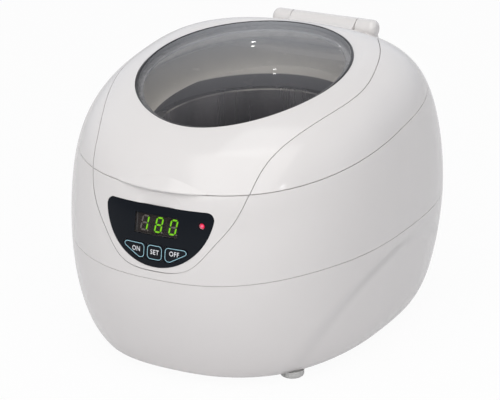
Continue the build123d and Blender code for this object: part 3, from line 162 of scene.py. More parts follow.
# ---------------------------------------- light
WHITE_LIGHT = (1.0, 1.0, 1.0, 1.0)
AMBIENT = 0.42
AMBIENT_COLOUR = (0.945, 0.957, 1.0, 1.0)
MIRRORED_COLOUR = (0.91, 0.935, 1.0, 1.0)
MIRRORED_IN_FRONT = 0.45     # level of the room in a mirror, by direction
MIRRORED_OVERHEAD = 0.3
MIRRORED_LOW = 0.7
FRONT_TO_REAR = (-0.25, 0.3)     # directions between which the level changes
UP_TO_OVERHEAD = (0.55, 0.85)
LOW_TO_UP = (0.0, 0.2)
LIGHT_TARGET = (0.0, 0.0, 0.08)
MAIN_PLACE = (0.33, -1.0, 1.3)
MAIN_SIZE = 1.9
MAIN_POWER = 18.9
MAIN_COLOUR = (1.0, 0.985, 0.965)
OVERHEAD_PLACE = (0.0, -0.1, 1.5)
OVERHEAD_SIZE = 0.7
OVERHEAD_POWER = 2.2
FLOOR_REACH = 4.0
FLOOR_COLOUR = (0.78, 0.775, 0.785, 1.0)
FLOOR_WHITE = 0.95           # share of plain white in what the camera sees of the floor
FLOOR_MIRRORED = 0.5         # and in what a mirror sees of it
GLINT_DISTANCE = 1.4
GLINTS = {                   # place in millimetres, heading to the lamp, size and power
    "glint_window_rear": ((-7.6, 2.0, 158.6), (-0.463, 0.780, 0.422), 0.010, 0.006),
    "glint_window_front": ((19.9, -25.7, 153.9), (-0.393, 0.672, 0.627), 0.009, 0.004),
    "glint_window_right": ((37.3, 18.0, 158.2), (-0.350, 0.833, 0.429), 0.007, 0.001),
    "glint_lip": ((22.1, -110.5, 111.8), (-0.175, -0.898, 0.391), 0.08, 0.4),
    "glint_cheek": ((59.0, -90.9, 116.7), (0.793, -0.476, 0.367), 0.06, 0.3),
}


# ======================================== node helpers
FLAT = 1000.0                # mapping scale that leaves an axis out
NOISE_LOW, NOISE_HIGH = 0.3, 0.7    # usual range of the noise


def srgb(red, green, blue):
    """Linear colour of an sRGB triple that runs from 0 to 255."""
    def linear(value):
        share = value / 255
        return share / 12.92 if share <= 0.04045 else ((share + 0.055) / 1.055) ** 2.4
    return (linear(red), linear(green), linear(blue), 1.0)


def scaled(colour, factor):
    """The colour made lighter or darker by the factor."""
    return tuple(min(1.0, channel * factor) for channel in colour[:3]) + (1.0,)


def new_material(name):
    """An empty node material with one Principled shader."""
    material = bpy.data.materials.new(name)
    material.use_nodes = True
    tree = material.node_tree
    tree.nodes.clear()
    output = tree.nodes.new("ShaderNodeOutputMaterial")
    shader = tree.nodes.new("ShaderNodeBsdfPrincipled")
    tree.links.new(shader.outputs[0], output.inputs["Surface"])
    return material, tree, shader


def node_of(material, kind):
    """The first node of a kind in a material."""
    return next(node for node in material.node_tree.nodes if node.type == kind)


def noise(tree, scale, detail=2.0, stretch=(1.0, 1.0, 1.0)):
    """Noise in the piece's own coordinates."""
    place = tree.nodes.new("ShaderNodeTexCoord")
    mapping = tree.nodes.new("ShaderNodeMapping")
    mapping.inputs["Scale"].default_value = stretch
    texture = tree.nodes.new("ShaderNodeTexNoise")
    texture.inputs["Scale"].default_value = scale
    texture.inputs["Detail"].default_value = detail
    tree.links.new(place.outputs["Object"], mapping.inputs["Vector"])
    tree.links.new(mapping.outputs["Vector"], texture.inputs["Vector"])
    return texture.outputs["Fac"]


def ramp(tree, source, low, high, start=NOISE_LOW, end=NOISE_HIGH):
    """Colours between two, driven by the source."""
    node = tree.nodes.new("ShaderNodeValToRGB")
    node.color_ramp.elements[0].position = start
    node.color_ramp.elements[1].position = end
    node.color_ramp.elements[0].color = low
    node.color_ramp.elements[1].color = high
    tree.links.new(source, node.inputs["Fac"])
    return node.outputs["Color"]


def spread(tree, source, low, high, start=NOISE_LOW, end=NOISE_HIGH):
    """Values between two, driven by the source."""
    node = tree.nodes.new("ShaderNodeMapRange")
    node.inputs["From Min"].default_value = start
    node.inputs["From Max"].default_value = end
    node.inputs["To Min"].default_value = low
    node.inputs["To Max"].default_value = high
    tree.links.new(source, node.inputs["Value"])
    return node.outputs["Result"]


def rise(tree, source, start, end):
    """0 up to the start, and 1 from the end on."""
    return spread(tree, source, 0.0, 1.0, start, end)


def fall(tree, source, start, end):
    """1 up to the start, and 0 from the end on."""
    return spread(tree, source, 1.0, 0.0, start, end)


def calculated(tree, operation, first, second=0.0):
    """Result of a Math node; the second operand is a number or a socket."""
    node = tree.nodes.new("ShaderNodeMath")
    node.operation = operation
    tree.links.new(first, node.inputs[0])
    if isinstance(second, float):
        node.inputs[1].default_value = second
    else:
        tree.links.new(second, node.inputs[1])
    return node.outputs[0]


def product(tree, first, second):
    """Product of two values."""
    return calculated(tree, "MULTIPLY", first, second)


def band(tree, source, middle, half_width):
    """1 in the middle of a band of values, falling to 0 at its edges."""
    offset = calculated(tree, "SUBTRACT", source, middle)
    return fall(tree, calculated(tree, "ABSOLUTE", offset), 0.0, half_width)


def coordinate(tree, axis):
    """One of the piece's own coordinates."""
    place = tree.nodes.new("ShaderNodeTexCoord")
    axes = tree.nodes.new("ShaderNodeSeparateXYZ")
    tree.links.new(place.outputs["Object"], axes.inputs[0])
    return axes.outputs[axis]


def reach_from(tree, centre, sizes):
    """Distance from a centre, in the piece's own coordinates and in units of the three sizes."""
    place = tree.nodes.new("ShaderNodeTexCoord")
    mapping = tree.nodes.new("ShaderNodeMapping")
    mapping.vector_type = "TEXTURE"
    mapping.inputs["Location"].default_value = centre
    mapping.inputs["Scale"].default_value = sizes
    reach = tree.nodes.new("ShaderNodeVectorMath")
    reach.operation = "LENGTH"
    tree.links.new(place.outputs["Object"], mapping.inputs["Vector"])
    tree.links.new(mapping.outputs["Vector"], reach.inputs[0])
    return reach.outputs["Value"]


def oval_reach(tree, node):
    """Distance from the middle of a node's plan: 1 on the oval that the node's box holds."""
    low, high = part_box(node)
    middle, half = (low + high) / 2, (high - low) / 2
    return reach_from(tree, (middle.x, middle.y, 0.0), (half.x, half.y, FLAT))


def tinted(material, share, colour):
    """Mixes a second colour into a material's base colour by the share."""
    tree = material.node_tree
    base = node_of(material, "BSDF_PRINCIPLED").inputs["Base Color"]
    mix = tree.nodes.new("ShaderNodeMix")
    mix.data_type = "RGBA"
    mix.inputs["B"].default_value = colour
    tree.links.new(share, mix.inputs["Factor"])
    tree.links.new(base.links[0].from_socket, mix.inputs["A"])
    tree.links.new(mix.outputs["Result"], base)


def surface(name, colour, roughness, mottle=0.03, mottle_scale=40.0, rough_spread=0.03,
            grain_scale=900.0, grain=0.02, grain_depth=0.00005, stretch=(1.0, 1.0, 1.0),
            sockets=None):
    """A procedural finish: uneven colour and gloss, and a fine relief."""
    material, tree, shader = new_material(name)
    colour_noise = noise(tree, mottle_scale, 3.0, stretch)
    tint = ramp(tree, colour_noise, scaled(colour, 1 - mottle), scaled(colour, 1 + mottle))
    tree.links.new(tint, shader.inputs["Base Color"])
    gloss_noise = noise(tree, mottle_scale * 3, 4.0, stretch)
    gloss = spread(tree, gloss_noise, roughness - rough_spread, roughness + rough_spread)
    tree.links.new(gloss, shader.inputs["Roughness"])
    bump = tree.nodes.new("ShaderNodeBump")
    bump.inputs["Strength"].default_value = grain
    bump.inputs["Distance"].default_value = grain_depth
    tree.links.new(noise(tree, grain_scale, 2.0, stretch), bump.inputs["Height"])
    tree.links.new(bump.outputs["Normal"], shader.inputs["Normal"])
    for socket, value in (sockets or {}).items():
        shader.inputs[socket].default_value = value
    return material


# ======================================== mesh helpers
def mesh_piece(name, vertices, faces, material, body, slot, sheet=False):
    """A new mesh piece that rides on a body; the faces of a sheet are turned to the front."""
    mesh = bpy.data.meshes.new(name)
    mesh.from_pydata([tuple(vertex) for vertex in vertices], [], faces)
    shape = bmesh.new()
    shape.from_mesh(mesh)
    if sheet:
        backward = [face for face in shape.faces if face.normal.y > 0]
        bmesh.ops.reverse_faces(shape, faces=backward)
    else:
        bmesh.ops.recalc_face_normals(shape, faces=shape.faces)
    shape.to_mesh(mesh)
    shape.free()
    piece = bpy.data.objects.new(name, mesh)
    bpy.context.scene.collection.objects.link(piece)
    mesh.materials.append(material)
    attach(piece, body)
    return piece


def node_tree_of(node):
    """Ray-casting tree of a CAD node."""
    mesh = frame["nodes"][node].data
    corners = [vertex.co for vertex in mesh.vertices]
    return BVHTree.FromPolygons(corners, [polygon.vertices for polygon in mesh.polygons])


def front_hit(tree, x, z):
    """Depth of the surface that is met first from the front, all in millimetres."""
    hit = tree.ray_cast(Vector((x * MM, -1.0, z * MM)), Vector((0, 1, 0)))[0]
    if hit is None:
        hit = tree.find_nearest(Vector((x * MM, FRONT_Y * MM, z * MM)))[0]
    return hit.y / MM


# ======================================== materials
METAL = {"Metallic": 1.0}
FILM = {"Specular IOR Level": 0.12}
WHITE = srgb(226, 223.5, 222)
# painted shade on the liner's ledge round the window
LEDGE_PAINTED_SHADE = srgb(118, 118, 121)
# painted shade low down in the tank
STEEL_PAINTED_SHADE = srgb(84, 82, 88)
# painted shade on the tank's flange
FLANGE_PAINTED_SHADE = srgb(120, 118, 126)
# painted highlight on the tank's top edge
STEEL_PAINTED_HIGHLIGHT = srgb(250, 248, 240)


def gloss_white(name):
    """The white gloss plastic of the mouldings."""
    return surface(name, WHITE, 0.14, mottle=0.008, mottle_scale=14.0, grain_scale=420.0,
                   grain=0.05)


def smoked_pane():
    """Tinted see-through pane that mirrors more at a flat angle, with faint wiping marks."""
    material, tree, mirror = new_material("smoked_pane")
    mirror.inputs["Metallic"].default_value = 1.0
    mirror.inputs["Base Color"].default_value = WHITE_LIGHT
    smooth, rough = PANE_ROUGHNESS - PANE_ROUGHNESS_SPREAD, PANE_ROUGHNESS + PANE_ROUGHNESS_SPREAD
    tree.links.new(spread(tree, noise(tree, 36.0, 4.0), smooth, rough), mirror.inputs["Roughness"])
    clear = tree.nodes.new("ShaderNodeBsdfTransparent")
    path = tree.nodes.new("ShaderNodeLightPath")
    shadow, diffuse = path.outputs["Is Shadow Ray"], path.outputs["Is Diffuse Ray"]
    lighting = calculated(tree, "MAXIMUM", shadow, diffuse)    # these pass untinted
    tint = tree.nodes.new("ShaderNodeMix")
    tint.data_type = "RGBA"
    tint.inputs["B"].default_value = WHITE_LIGHT
    tree.links.new(lighting, tint.inputs["Factor"])
    uneven = ramp(tree, noise(tree, 14.0, 3.0), scaled(PANE_TINT, 1 - PANE_MOTTLE),
                  scaled(PANE_TINT, 1 + PANE_MOTTLE))
    tree.links.new(uneven, tint.inputs["A"])
    tree.links.new(tint.outputs["Result"], clear.inputs["Color"])
    facing = tree.nodes.new("ShaderNodeLayerWeight")
    flatness = calculated(tree, "POWER", facing.outputs["Facing"], PANE_MIRROR_POWER)
    mix = tree.nodes.new("ShaderNodeMixShader")
    tree.links.new(spread(tree, flatness, *PANE_MIRROR, 0.0, 1.0), mix.inputs[0])
    tree.links.new(clear.outputs[0], mix.inputs[1])
    tree.links.new(mirror.outputs[0], mix.inputs[2])
    tree.links.new(mix.outputs[0], node_of(material, "OUTPUT_MATERIAL").inputs["Surface"])
    return material


def smoked_lens():
    """Dark see-through cover of the display."""
    sockets = {"Alpha": 0.3, "Specular IOR Level": 0.2}
    return surface("display_pane", srgb(24, 22, 22), 0.06, mottle=0.1, mottle_scale=12.0,
                   rough_spread=0.015, grain=0.0, sockets=sockets)


def led_material():
    """Red status light with a paler middle."""
    material, tree, shader = new_material("status_light")
    low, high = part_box("status_led")
    place = tree.nodes.new("ShaderNodeTexCoord")
    distance = tree.nodes.new("ShaderNodeVectorMath")
    distance.operation = "DISTANCE"
    distance.inputs[1].default_value = ((low.x + high.x) / 2, low.y, (low.z + high.z) / 2)
    tree.links.new(place.outputs["Object"], distance.inputs[0])
    share = rise(tree, distance.outputs["Value"], STATUS_CORE, STATUS_RIM)
    tint = ramp(tree, share, srgb(252, 120, 160), srgb(214, 10, 60), 0.0, 1.0)
    tree.links.new(tint, shader.inputs["Emission Color"])
    shader.inputs["Emission Strength"].default_value = 1.0
    shader.inputs["Base Color"].default_value = srgb(120, 5, 30)
    shader.inputs["Roughness"].default_value = 0.2
    return material


def segment_glow():
    """Lit bars of the display: an emitting green with a little unevenness."""
    material, tree, shader = new_material("segment_green")
    colour = srgb(150, 246, 26)
    shader.inputs["Base Color"].default_value = srgb(60, 120, 20)
    shader.inputs["Roughness"].default_value = 0.3
    shader.inputs["Emission Strength"].default_value = 1.35
    tint = ramp(tree, noise(tree, 700.0), scaled(colour, 0.85), colour)
    tree.links.new(tint, shader.inputs["Emission Color"])
    return material


def painted_shade_band(tree):
    """Share of painted shade: a soft dark band along the inside of the rear wall, which rises to
    the rear.
    """
    place = tree.nodes.new("ShaderNodeTexCoord")
    level = tree.nodes.new("ShaderNodeVectorMath")
    level.operation = "DOT_PRODUCT"
    level.inputs[1].default_value = (0.0, -BAND_SLOPE, 1.0)
    tree.links.new(place.outputs["Object"], level.inputs[0])
    share = band(tree, level.outputs["Value"], BAND_Z * MM, BAND_HALF_HEIGHT * MM)
    inside = fall(tree, coordinate(tree, "Y"), BAND_REAR_Y * MM, (BAND_REAR_Y + BAND_SOFTNESS) * MM)
    return product(tree, share, inside)


def liner_material():
    """Pale moulded liner with painted shade: a grey ring round the window on the ledge under the
    glass, and a soft dark band on the rear wall.
    """
    material = surface("liner_white", srgb(238, 237, 236), 0.28, mottle=0.02)
    tree = material.node_tree
    reach = oval_reach(tree, "window_seal")
    # painted shade: grey on the lit ledge under the glass's edge
    painted_shade_ring = product(tree, rise(tree, reach, *SHADE_RING_START), fall(tree, reach, *SHADE_RING_END))
    tinted(material, painted_shade_ring, LEDGE_PAINTED_SHADE)
    # painted shade: a dark band on the rear wall
    tinted(material, painted_shade_band(tree), srgb(110, 110, 116))
    return material


def deck_material():
    """Pale deck with painted shade on the wall round the tank."""
    material = surface("deck_white", srgb(240, 237, 231), 0.25, mottle=0.015)
    tree = material.node_tree
    wall = fall(tree, oval_reach(tree, "tank"), *DECK_WALL_END)
    low = fall(tree, coordinate(tree, "Z"), (DECK_WALL_TOP_Z - DECK_WALL_SOFTNESS) * MM,
               (DECK_WALL_TOP_Z + DECK_WALL_SOFTNESS) * MM)
    # painted shade: the wall round the tank dark grey
    tinted(material, product(tree, wall, low), srgb(92, 92, 99))
    return material


def tank_material():
    """Drawn steel with painted light: shade low down and on the flange, a bright painted highlight
    along the top edge, and pale streaks down the wall that are painted reflections.
    """
    material = surface("polished_steel", srgb(224, 220, 230), 0.24, mottle=0.3, mottle_scale=42.0,
                       rough_spread=0.07, grain_scale=420.0, grain=0.35, stretch=(1.0, 1.0, 0.03))
    tree = material.node_tree
    height = coordinate(tree, "Z")
    # painted shade: the steel darker low down in the tank
    deep, shallow = ((TANK_TOP_Z - depth) * MM for depth in TANK_PAINTED_SHADE_DEPTHS)
    tinted(material, spread(tree, height, TANK_PAINTED_SHADE, 0.0, deep, shallow), STEEL_PAINTED_SHADE)
    # painted shade: the flange at the top of the tank darker
    below, above = ((TANK_TOP_Z - depth) * MM for depth in TANK_FLANGE_DEPTHS)
    tinted(material, rise(tree, height, below, above), FLANGE_PAINTED_SHADE)
    # painted highlight: a bright band along the top edge of the wall, with less metal there
    level = band(tree, height, (TANK_TOP_Z - TANK_EDGE_DEPTH) * MM, TANK_EDGE_HALF_HEIGHT * MM)
    edge = product(tree, level, fall(tree, oval_reach(tree, "tank"), *TANK_EDGE_END))
    uneven = spread(tree, noise(tree, 45.0), *TANK_EDGE_HIGHLIGHT, 0.4, 0.65)
    painted_highlight = product(tree, rise(tree, edge, 0.0, 0.5), uneven)
    tinted(material, painted_highlight, STEEL_PAINTED_HIGHLIGHT)
    # painted reflection: pale streaks down the wall, where less metal lets the light show
    painted_streaks = spread(tree, noise(tree, 38.0, 2.0, (1.0, 1.0, 0.02)), 0.0, TANK_STREAKS, 0.5, 0.68)
    highlight_and_streaks = calculated(tree, "ADD", product(tree, painted_highlight, 0.6), painted_streaks)
    metallic = node_of(material, "BSDF_PRINCIPLED").inputs["Metallic"]
    tree.links.new(spread(tree, highlight_and_streaks, *TANK_METALLIC, 0.0, 0.8), metallic)
    return material


def upper_shell_material():
    """Gloss white with painted shade: a soft darker band on the inside of the rear wall, under the
    lid.
    """
    material = gloss_white("gloss_white_upper")
    tree = material.node_tree
    sideways = rise(tree, band(tree, coordinate(tree, "X"), 0.0, BAND_HALF_WIDTH * MM), 0.0, 0.1)
    rear = rise(tree, coordinate(tree, "Y"), BAND_FRONT_Y * MM, (BAND_FRONT_Y + 1) * MM)
    share = product(tree, product(tree, sideways, rear), painted_shade_band(tree))
    # painted shade: a darker band on the rear wall under the lid
    tinted(material, share, srgb(120, 120, 126))
    return material


def base_shell_material():
    """Gloss white, with a soft arched crease moulded into each side of the base."""
    material = gloss_white("gloss_white_base")
    tree = material.node_tree
    normal = node_of(material, "BSDF_PRINCIPLED").inputs["Normal"]
    sizes = (FLAT, CREASE_HALF_DEPTH * MM, CREASE_HEIGHT * MM)
    reach = reach_from(tree, (0.0, 0.0, CREASE_BASE_Z * MM), sizes)
    step = tree.nodes.new("ShaderNodeMapRange")
    step.interpolation_type = "SMOOTHERSTEP"
    step.inputs["From Min"].default_value = 1 - CREASE_SOFTNESS
    step.inputs["From Max"].default_value = 1 + CREASE_SOFTNESS / 2
    tuck = tree.nodes.new("ShaderNodeBump")
    tuck.inputs["Strength"].default_value = 1.0
    tuck.inputs["Distance"].default_value = CREASE_TUCK * MM
    tree.links.new(reach, step.inputs["Value"])
    tree.links.new(step.outputs["Result"], tuck.inputs["Height"])
    tree.links.new(normal.links[0].from_socket, tuck.inputs["Normal"])
    tree.links.new(tuck.outputs["Normal"], normal)
    return material


MATERIALS = {
    "white_abs": gloss_white("gloss_white"),
    "deck_plastic": deck_material(),
    "liner_plastic": liner_material(),
    "smoked_glass": smoked_pane(),
    "seal_rubber": surface("seal_black", srgb(30, 30, 33), 0.35, mottle=0.15, mottle_scale=300.0,
                           grain=0.2),
    "tank_steel": tank_material(),
    "black_panel": surface("panel_black", srgb(21, 25, 31), 0.2, mottle=0.06, grain_scale=1500.0,
                           grain=0.03, sockets=FILM),
    "lens_smoked": smoked_lens(),
    "key_black": surface("key_black", srgb(21, 25, 31), 0.22, mottle=0.06, grain_scale=1500.0,
                         grain=0.03, sockets=FILM),
    "board_green": surface("board_green", srgb(38, 96, 58), 0.35, mottle=0.12, mottle_scale=200.0,
                           grain=0.2),
    "part_black": surface("moulded_black", srgb(34, 34, 36), 0.5, mottle=0.1, mottle_scale=300.0,
                          grain=0.3),
    "led_red": led_material(),
    "steel": surface("screw_steel", srgb(196, 197, 200), 0.28, mottle=0.08, mottle_scale=300.0,
                     grain=0.1, sockets=METAL),
    "horn_aluminium": surface("turned_aluminium", srgb(205, 206, 210), 0.3, mottle=0.06,
                              stretch=(1.0, 1.0, 20.0), grain=0.15, sockets=METAL),
    "mass_steel": surface("turned_steel", srgb(150, 151, 155), 0.3, mottle=0.08,
                          stretch=(1.0, 1.0, 20.0), grain=0.15, sockets=METAL),
    "ceramic": surface("fired_ceramic", srgb(212, 204, 184), 0.55, mottle=0.05, mottle_scale=250.0,
                       grain=0.3),
    "electrode_brass": surface("sheet_brass", srgb(205, 172, 96), 0.3, mottle=0.08,
                               mottle_scale=250.0, sockets=METAL),
    "core_steel": surface("laminated_core", srgb(92, 92, 98), 0.45, mottle=0.15,
                          stretch=(1.0, 30.0, 1.0), grain=0.3),
    "coil_tape": surface("coil_tape", srgb(196, 160, 62), 0.4, mottle=0.08, mottle_scale=150.0,
                         grain=0.2),
    "sink_aluminium": surface("extruded_aluminium", srgb(176, 178, 184), 0.38, mottle=0.06,
                              stretch=(1.0, 1.0, 0.1), grain=0.2, sockets=METAL),
    "can_sleeve": surface("can_sleeve", srgb(30, 44, 82), 0.3, mottle=0.06, mottle_scale=200.0),
    "fuse_glass": surface("fuse_glass", srgb(190, 196, 196), 0.12, mottle=0.04,
                          sockets={"Alpha": 0.6}),
    "foot_rubber": surface("foot_rubber", srgb(206, 206, 204), 0.42, mottle=0.05,
                           mottle_scale=200.0, grain=0.25),
    "lead_insulation": surface("lead_sleeve", srgb(176, 34, 34), 0.42, mottle=0.05,
                               mottle_scale=300.0),
    "gasket_silicone": surface("gasket_silicone", srgb(188, 188, 184), 0.5, mottle=0.04,
                               mottle_scale=200.0),
}


def dress_nodes():
    """Gives every CAD node the finish of its material slot, and two shells their own."""
    own = {"base_shell": base_shell_material(), "upper_shell": upper_shell_material()}
    for row in frame["record"]["subparts"]:
        node = frame["nodes"][row["node"]]
        material = own.get(row["node"], MATERIALS[row["material_slot"]])
        if not node.material_slots:
            node.data.materials.append(material)
        for slot in node.material_slots:
            slot.material = material


# ======================================== display
def lens_back(tree, x, z):
    """Depth of the back of the display's lens, in millimetres."""
    return front_hit(tree, x, z) + LENS_THICKNESS


def display_face():
    """Dark face of the display, close behind the lens and standing on the display's block."""
    tree = node_tree_of("display_lens")
    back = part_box("led_display")[0].y / MM
    half_width = DISPLAY_HALF_WIDTH - FACE_MARGIN
    bottom, top = DISPLAY_BOTTOM_Z + FACE_MARGIN, DISPLAY_TOP_Z - FACE_MARGIN
    vertices = []
    for row in range(FACE_ROWS + 1):
        z = bottom + (top - bottom) * row / FACE_ROWS
        for column in range(FACE_COLUMNS + 1):
            x = half_width * (2 * column / FACE_COLUMNS - 1)
            vertices.append((x * MM, (lens_back(tree, x, z) + FACE_GAP) * MM, z * MM))
    front_count = len(vertices)
    vertices += [(x, back * MM, z) for x, _, z in vertices]
    faces = []
    stride = FACE_COLUMNS + 1
    for row in range(FACE_ROWS):
        for column in range(FACE_COLUMNS):
            a = row * stride + column
            b = a + front_count
            faces.append((a, a + 1, a + stride + 1, a + stride))
            faces.append((b, b + stride, b + stride + 1, b + 1))
    rim = list(range(stride))
    rim += [row * stride + FACE_COLUMNS for row in range(1, FACE_ROWS + 1)]
    rim += [FACE_ROWS * stride + column for column in range(FACE_COLUMNS - 1, -1, -1)]
    rim += [row * stride for row in range(FACE_ROWS - 1, 0, -1)]
    for one, two in zip(rim, rim[1:] + rim[:1]):
        faces.append((two, one, one + front_count, two + front_count))
    brown = surface("display_brown", srgb(74, 66, 64), 0.5, mottle=0.12, mottle_scale=260.0,
                    grain=0.2)
    mesh_piece("display_face", vertices, faces, brown, "housing", "part_black")


def segment_corners():
    """Corners of the seven bars of a digit round its own centre, in millimetres."""
    half = SEGMENT_WIDTH / 2
    gap = SEGMENT_SPACE
    left, right = half - DIGIT_WIDTH / 2, DIGIT_WIDTH / 2 - half
    low, high = half - DIGIT_HEIGHT / 2, DIGIT_HEIGHT / 2 - half

    def lying(z):
        return [(left + gap, z), (left + gap + half, z + half), (right - gap - half, z + half),
                (right - gap, z), (right - gap - half, z - half), (left + gap + half, z - half)]

    def standing(x, bottom, top):
        return [(x, bottom + gap), (x + half, bottom + gap + half), (x + half, top - gap - half),
                (x, top - gap), (x - half, top - gap - half), (x - half, bottom + gap + half)]
    return {
        "a": lying(high),
        "b": standing(right, 0.0, high),
        "c": standing(right, low, 0.0),
        "d": lying(low),
        "e": standing(left, low, 0.0),
        "f": standing(left, 0.0, high),
        "g": lying(0.0),
    }


def raised_shape(tree, outline, vertices, faces):
    """Adds a small plate with the outline that stands up from the display's face."""
    start = len(vertices)
    for rise_of_layer in (-SEGMENT_RISE, SEGMENT_RISE):
        for x, z in outline:
            depth = lens_back(tree, x, z) + FACE_GAP + rise_of_layer
            vertices.append((x * MM, depth * MM, z * MM))
    count = len(outline)
    faces.append(tuple(range(start, start + count)))
    faces.append(tuple(range(start + 2 * count - 1, start + count - 1, -1)))
    for i in range(count):
        j = (i + 1) % count
        faces.append((start + j, start + i, start + count + i, start + count + j))


def display_digits():
    """The digits 180, with the bars that stay dark, the points beside them and a pale line."""
    tree = node_tree_of("display_lens")
    lit, dark, line = ([], []), ([], []), ([], [])
    for place, bars in enumerate(SHOWN_BARS):
        centre_x = DIGIT_CENTRE_X + (place - 1) * DIGIT_PITCH
        for bar, corners in segment_corners().items():
            outline = [(centre_x + x + DIGIT_SLANT * z, DIGIT_CENTRE_Z + z) for x, z in corners]
            raised_shape(tree, outline, *(lit if bar in bars else dark))
        point_x = centre_x + DIGIT_WIDTH / 2 + POINT_AFTER_DIGIT - DIGIT_SLANT * DIGIT_HEIGHT / 2
        point_z = DIGIT_CENTRE_Z - DIGIT_HEIGHT / 2 + POINT_LIFT
        turns = [math.tau * side / POINT_SIDES for side in range(POINT_SIDES)]
        point = [(point_x + POINT_RADIUS * math.cos(turn), point_z + POINT_RADIUS * math.sin(turn))
                 for turn in turns]
        raised_shape(tree, point, *dark)
    line_x = EDGE_LINE_INSET - DISPLAY_HALF_WIDTH
    left, right = line_x - EDGE_LINE_HALF_WIDTH, line_x + EDGE_LINE_HALF_WIDTH
    bottom, top = DISPLAY_BOTTOM_Z + EDGE_LINE_MARGIN, DISPLAY_TOP_Z - EDGE_LINE_MARGIN
    raised_shape(tree, [(left, bottom), (right, bottom), (right, top), (left, top)], *line)
    unlit = surface("segment_dark", srgb(196, 184, 176), 0.5, mottle=0.08, mottle_scale=500.0)
    grey = surface("edge_grey", srgb(170, 168, 172), 0.4)
    mesh_piece("display_bars_lit", *lit, segment_glow(), "housing", "led_red")
    mesh_piece("display_bars_dark", *dark, unlit, "housing", "part_black")
    mesh_piece("display_edge", *line, grey, "housing", "part_black")


# ======================================== bead round the window
def window_bead():
    """Rubber lip that fills the joint between the glass and the lid."""
    glass = node_tree_of("lid_window")
    low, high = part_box("window_seal")
    centre = (low + high) / 2
    half_width, half_length = (high.x - low.x) / 2, (high.y - low.y) / 2
    edge, crown = BEAD_WIDTH / 2, BEAD_WIDTH * BEAD_CROWN
    shoulder = -BEAD_RISE * BEAD_SHOULDER
    section = [(edge, 0.0), (edge, shoulder), (crown, -BEAD_RISE),
               (-crown, -BEAD_RISE), (-edge, shoulder), (-edge, 0.0)]    # outwards, and down
    vertices, faces = [], []
    for step in range(BEAD_STEPS):
        turn = math.tau * step / BEAD_STEPS
        cosine, sine = math.cos(turn), math.sin(turn)
        out = Vector((cosine * half_length, sine * half_width, 0)).normalized()
        rim = Vector((centre.x + cosine * half_width, centre.y + sine * half_length, 0))
        middle = rim - out * edge * MM
        inner = middle - out * BEAD_REACH * MM
        hit = glass.ray_cast(Vector((inner.x, inner.y, 1.0)), Vector((0, 0, -1)))[0]
        for outwards, down in section:
            place = middle + out * outwards * MM
            vertices.append((place.x, place.y, hit.z - (down + BEAD_SINK) * MM))
    count = len(section)
    for step in range(BEAD_STEPS):
        here, ahead = step * count, (step + 1) % BEAD_STEPS * count
        for i in range(count):
            j = (i + 1) % count
            faces.append((here + i, ahead + i, ahead + j, here + j))
    rubber = MATERIALS["seal_rubber"]
    piece = mesh_piece("window_bead", vertices, faces, rubber, "lid", "seal_rubber")
    for polygon in piece.data.polygons:
        polygon.use_smooth = True


# ======================================== prints on the keys
def rounded_outline(corners, radius, steps=6):
    """Points round a convex polygon, given anticlockwise, with its corners rounded."""
    points = []
    count = len(corners)
    for i in range(count):
        before = Vector(corners[i - 1])
        here = Vector(corners[i])
        after = Vector(corners[(i + 1) % count])
        to_before = (before - here).normalized()
        to_after = (after - here).normalized()
        half_angle = to_before.angle(to_after) / 2
        reach = radius / math.tan(half_angle)
        centre = here + (to_before + to_after).normalized() * (radius / math.sin(half_angle))
        first = here + to_before * reach - centre
        last = here + to_after * reach - centre
        sweep = first.angle_signed(last)
        for step in range(steps + 1):
            turn = -sweep * step / steps
            cosine, sine = math.cos(turn), math.sin(turn)
            points.append((centre.x + first.x * cosine - first.y * sine,
                           centre.y + first.x * sine + first.y * cosine))
    return points


def key_corners(name):
    """Corners of a key's front view, anticlockwise."""
    if name == "key_set":
        return [(-SET_HALF_WIDTH, KEY_BOTTOM_Z), (SET_HALF_WIDTH, KEY_BOTTOM_Z),
                (SET_HALF_WIDTH, KEY_TOP_Z), (-SET_HALF_WIDTH, KEY_TOP_Z)]
    right = [(SIDE_KEY_INNER, KEY_BOTTOM_Z), (SIDE_KEY_FOOT, KEY_BOTTOM_Z),
             (SIDE_KEY_OUTER, SIDE_KEY_SHOULDER_Z), (SIDE_KEY_OUTER, KEY_TOP_Z),
             (SIDE_KEY_INNER, KEY_TOP_Z)]
    if name == "key_off":
        return right
    return [(-x, z) for x, z in reversed(right)]


def inset_line(points, inset):
    """The closed line of points, moved inwards."""
    moved = []
    count = len(points)
    for i in range(count):
        before, after = Vector(points[i - 1]), Vector(points[(i + 1) % count])
        along = (after - before).normalized()
        moved.append((points[i][0] - along.y * inset, points[i][1] + along.x * inset))
    return moved


def printed(name, key, vertices, faces, material):
    """A thin print laid on the front of a key: the vertices are (x, z) in millimetres."""
    tree = node_tree_of(key)
    laid = [(x * MM, (front_hit(tree, x, z) - PRINT_RISE) * MM, z * MM) for x, z in vertices]
    piece = mesh_piece(name, laid, faces, material, key, "key_black", sheet=True)
    thickness = piece.modifiers.new("thickness", "SOLIDIFY")
    thickness.thickness = PRINT_DEPTH * MM
    thickness.offset = -1.0


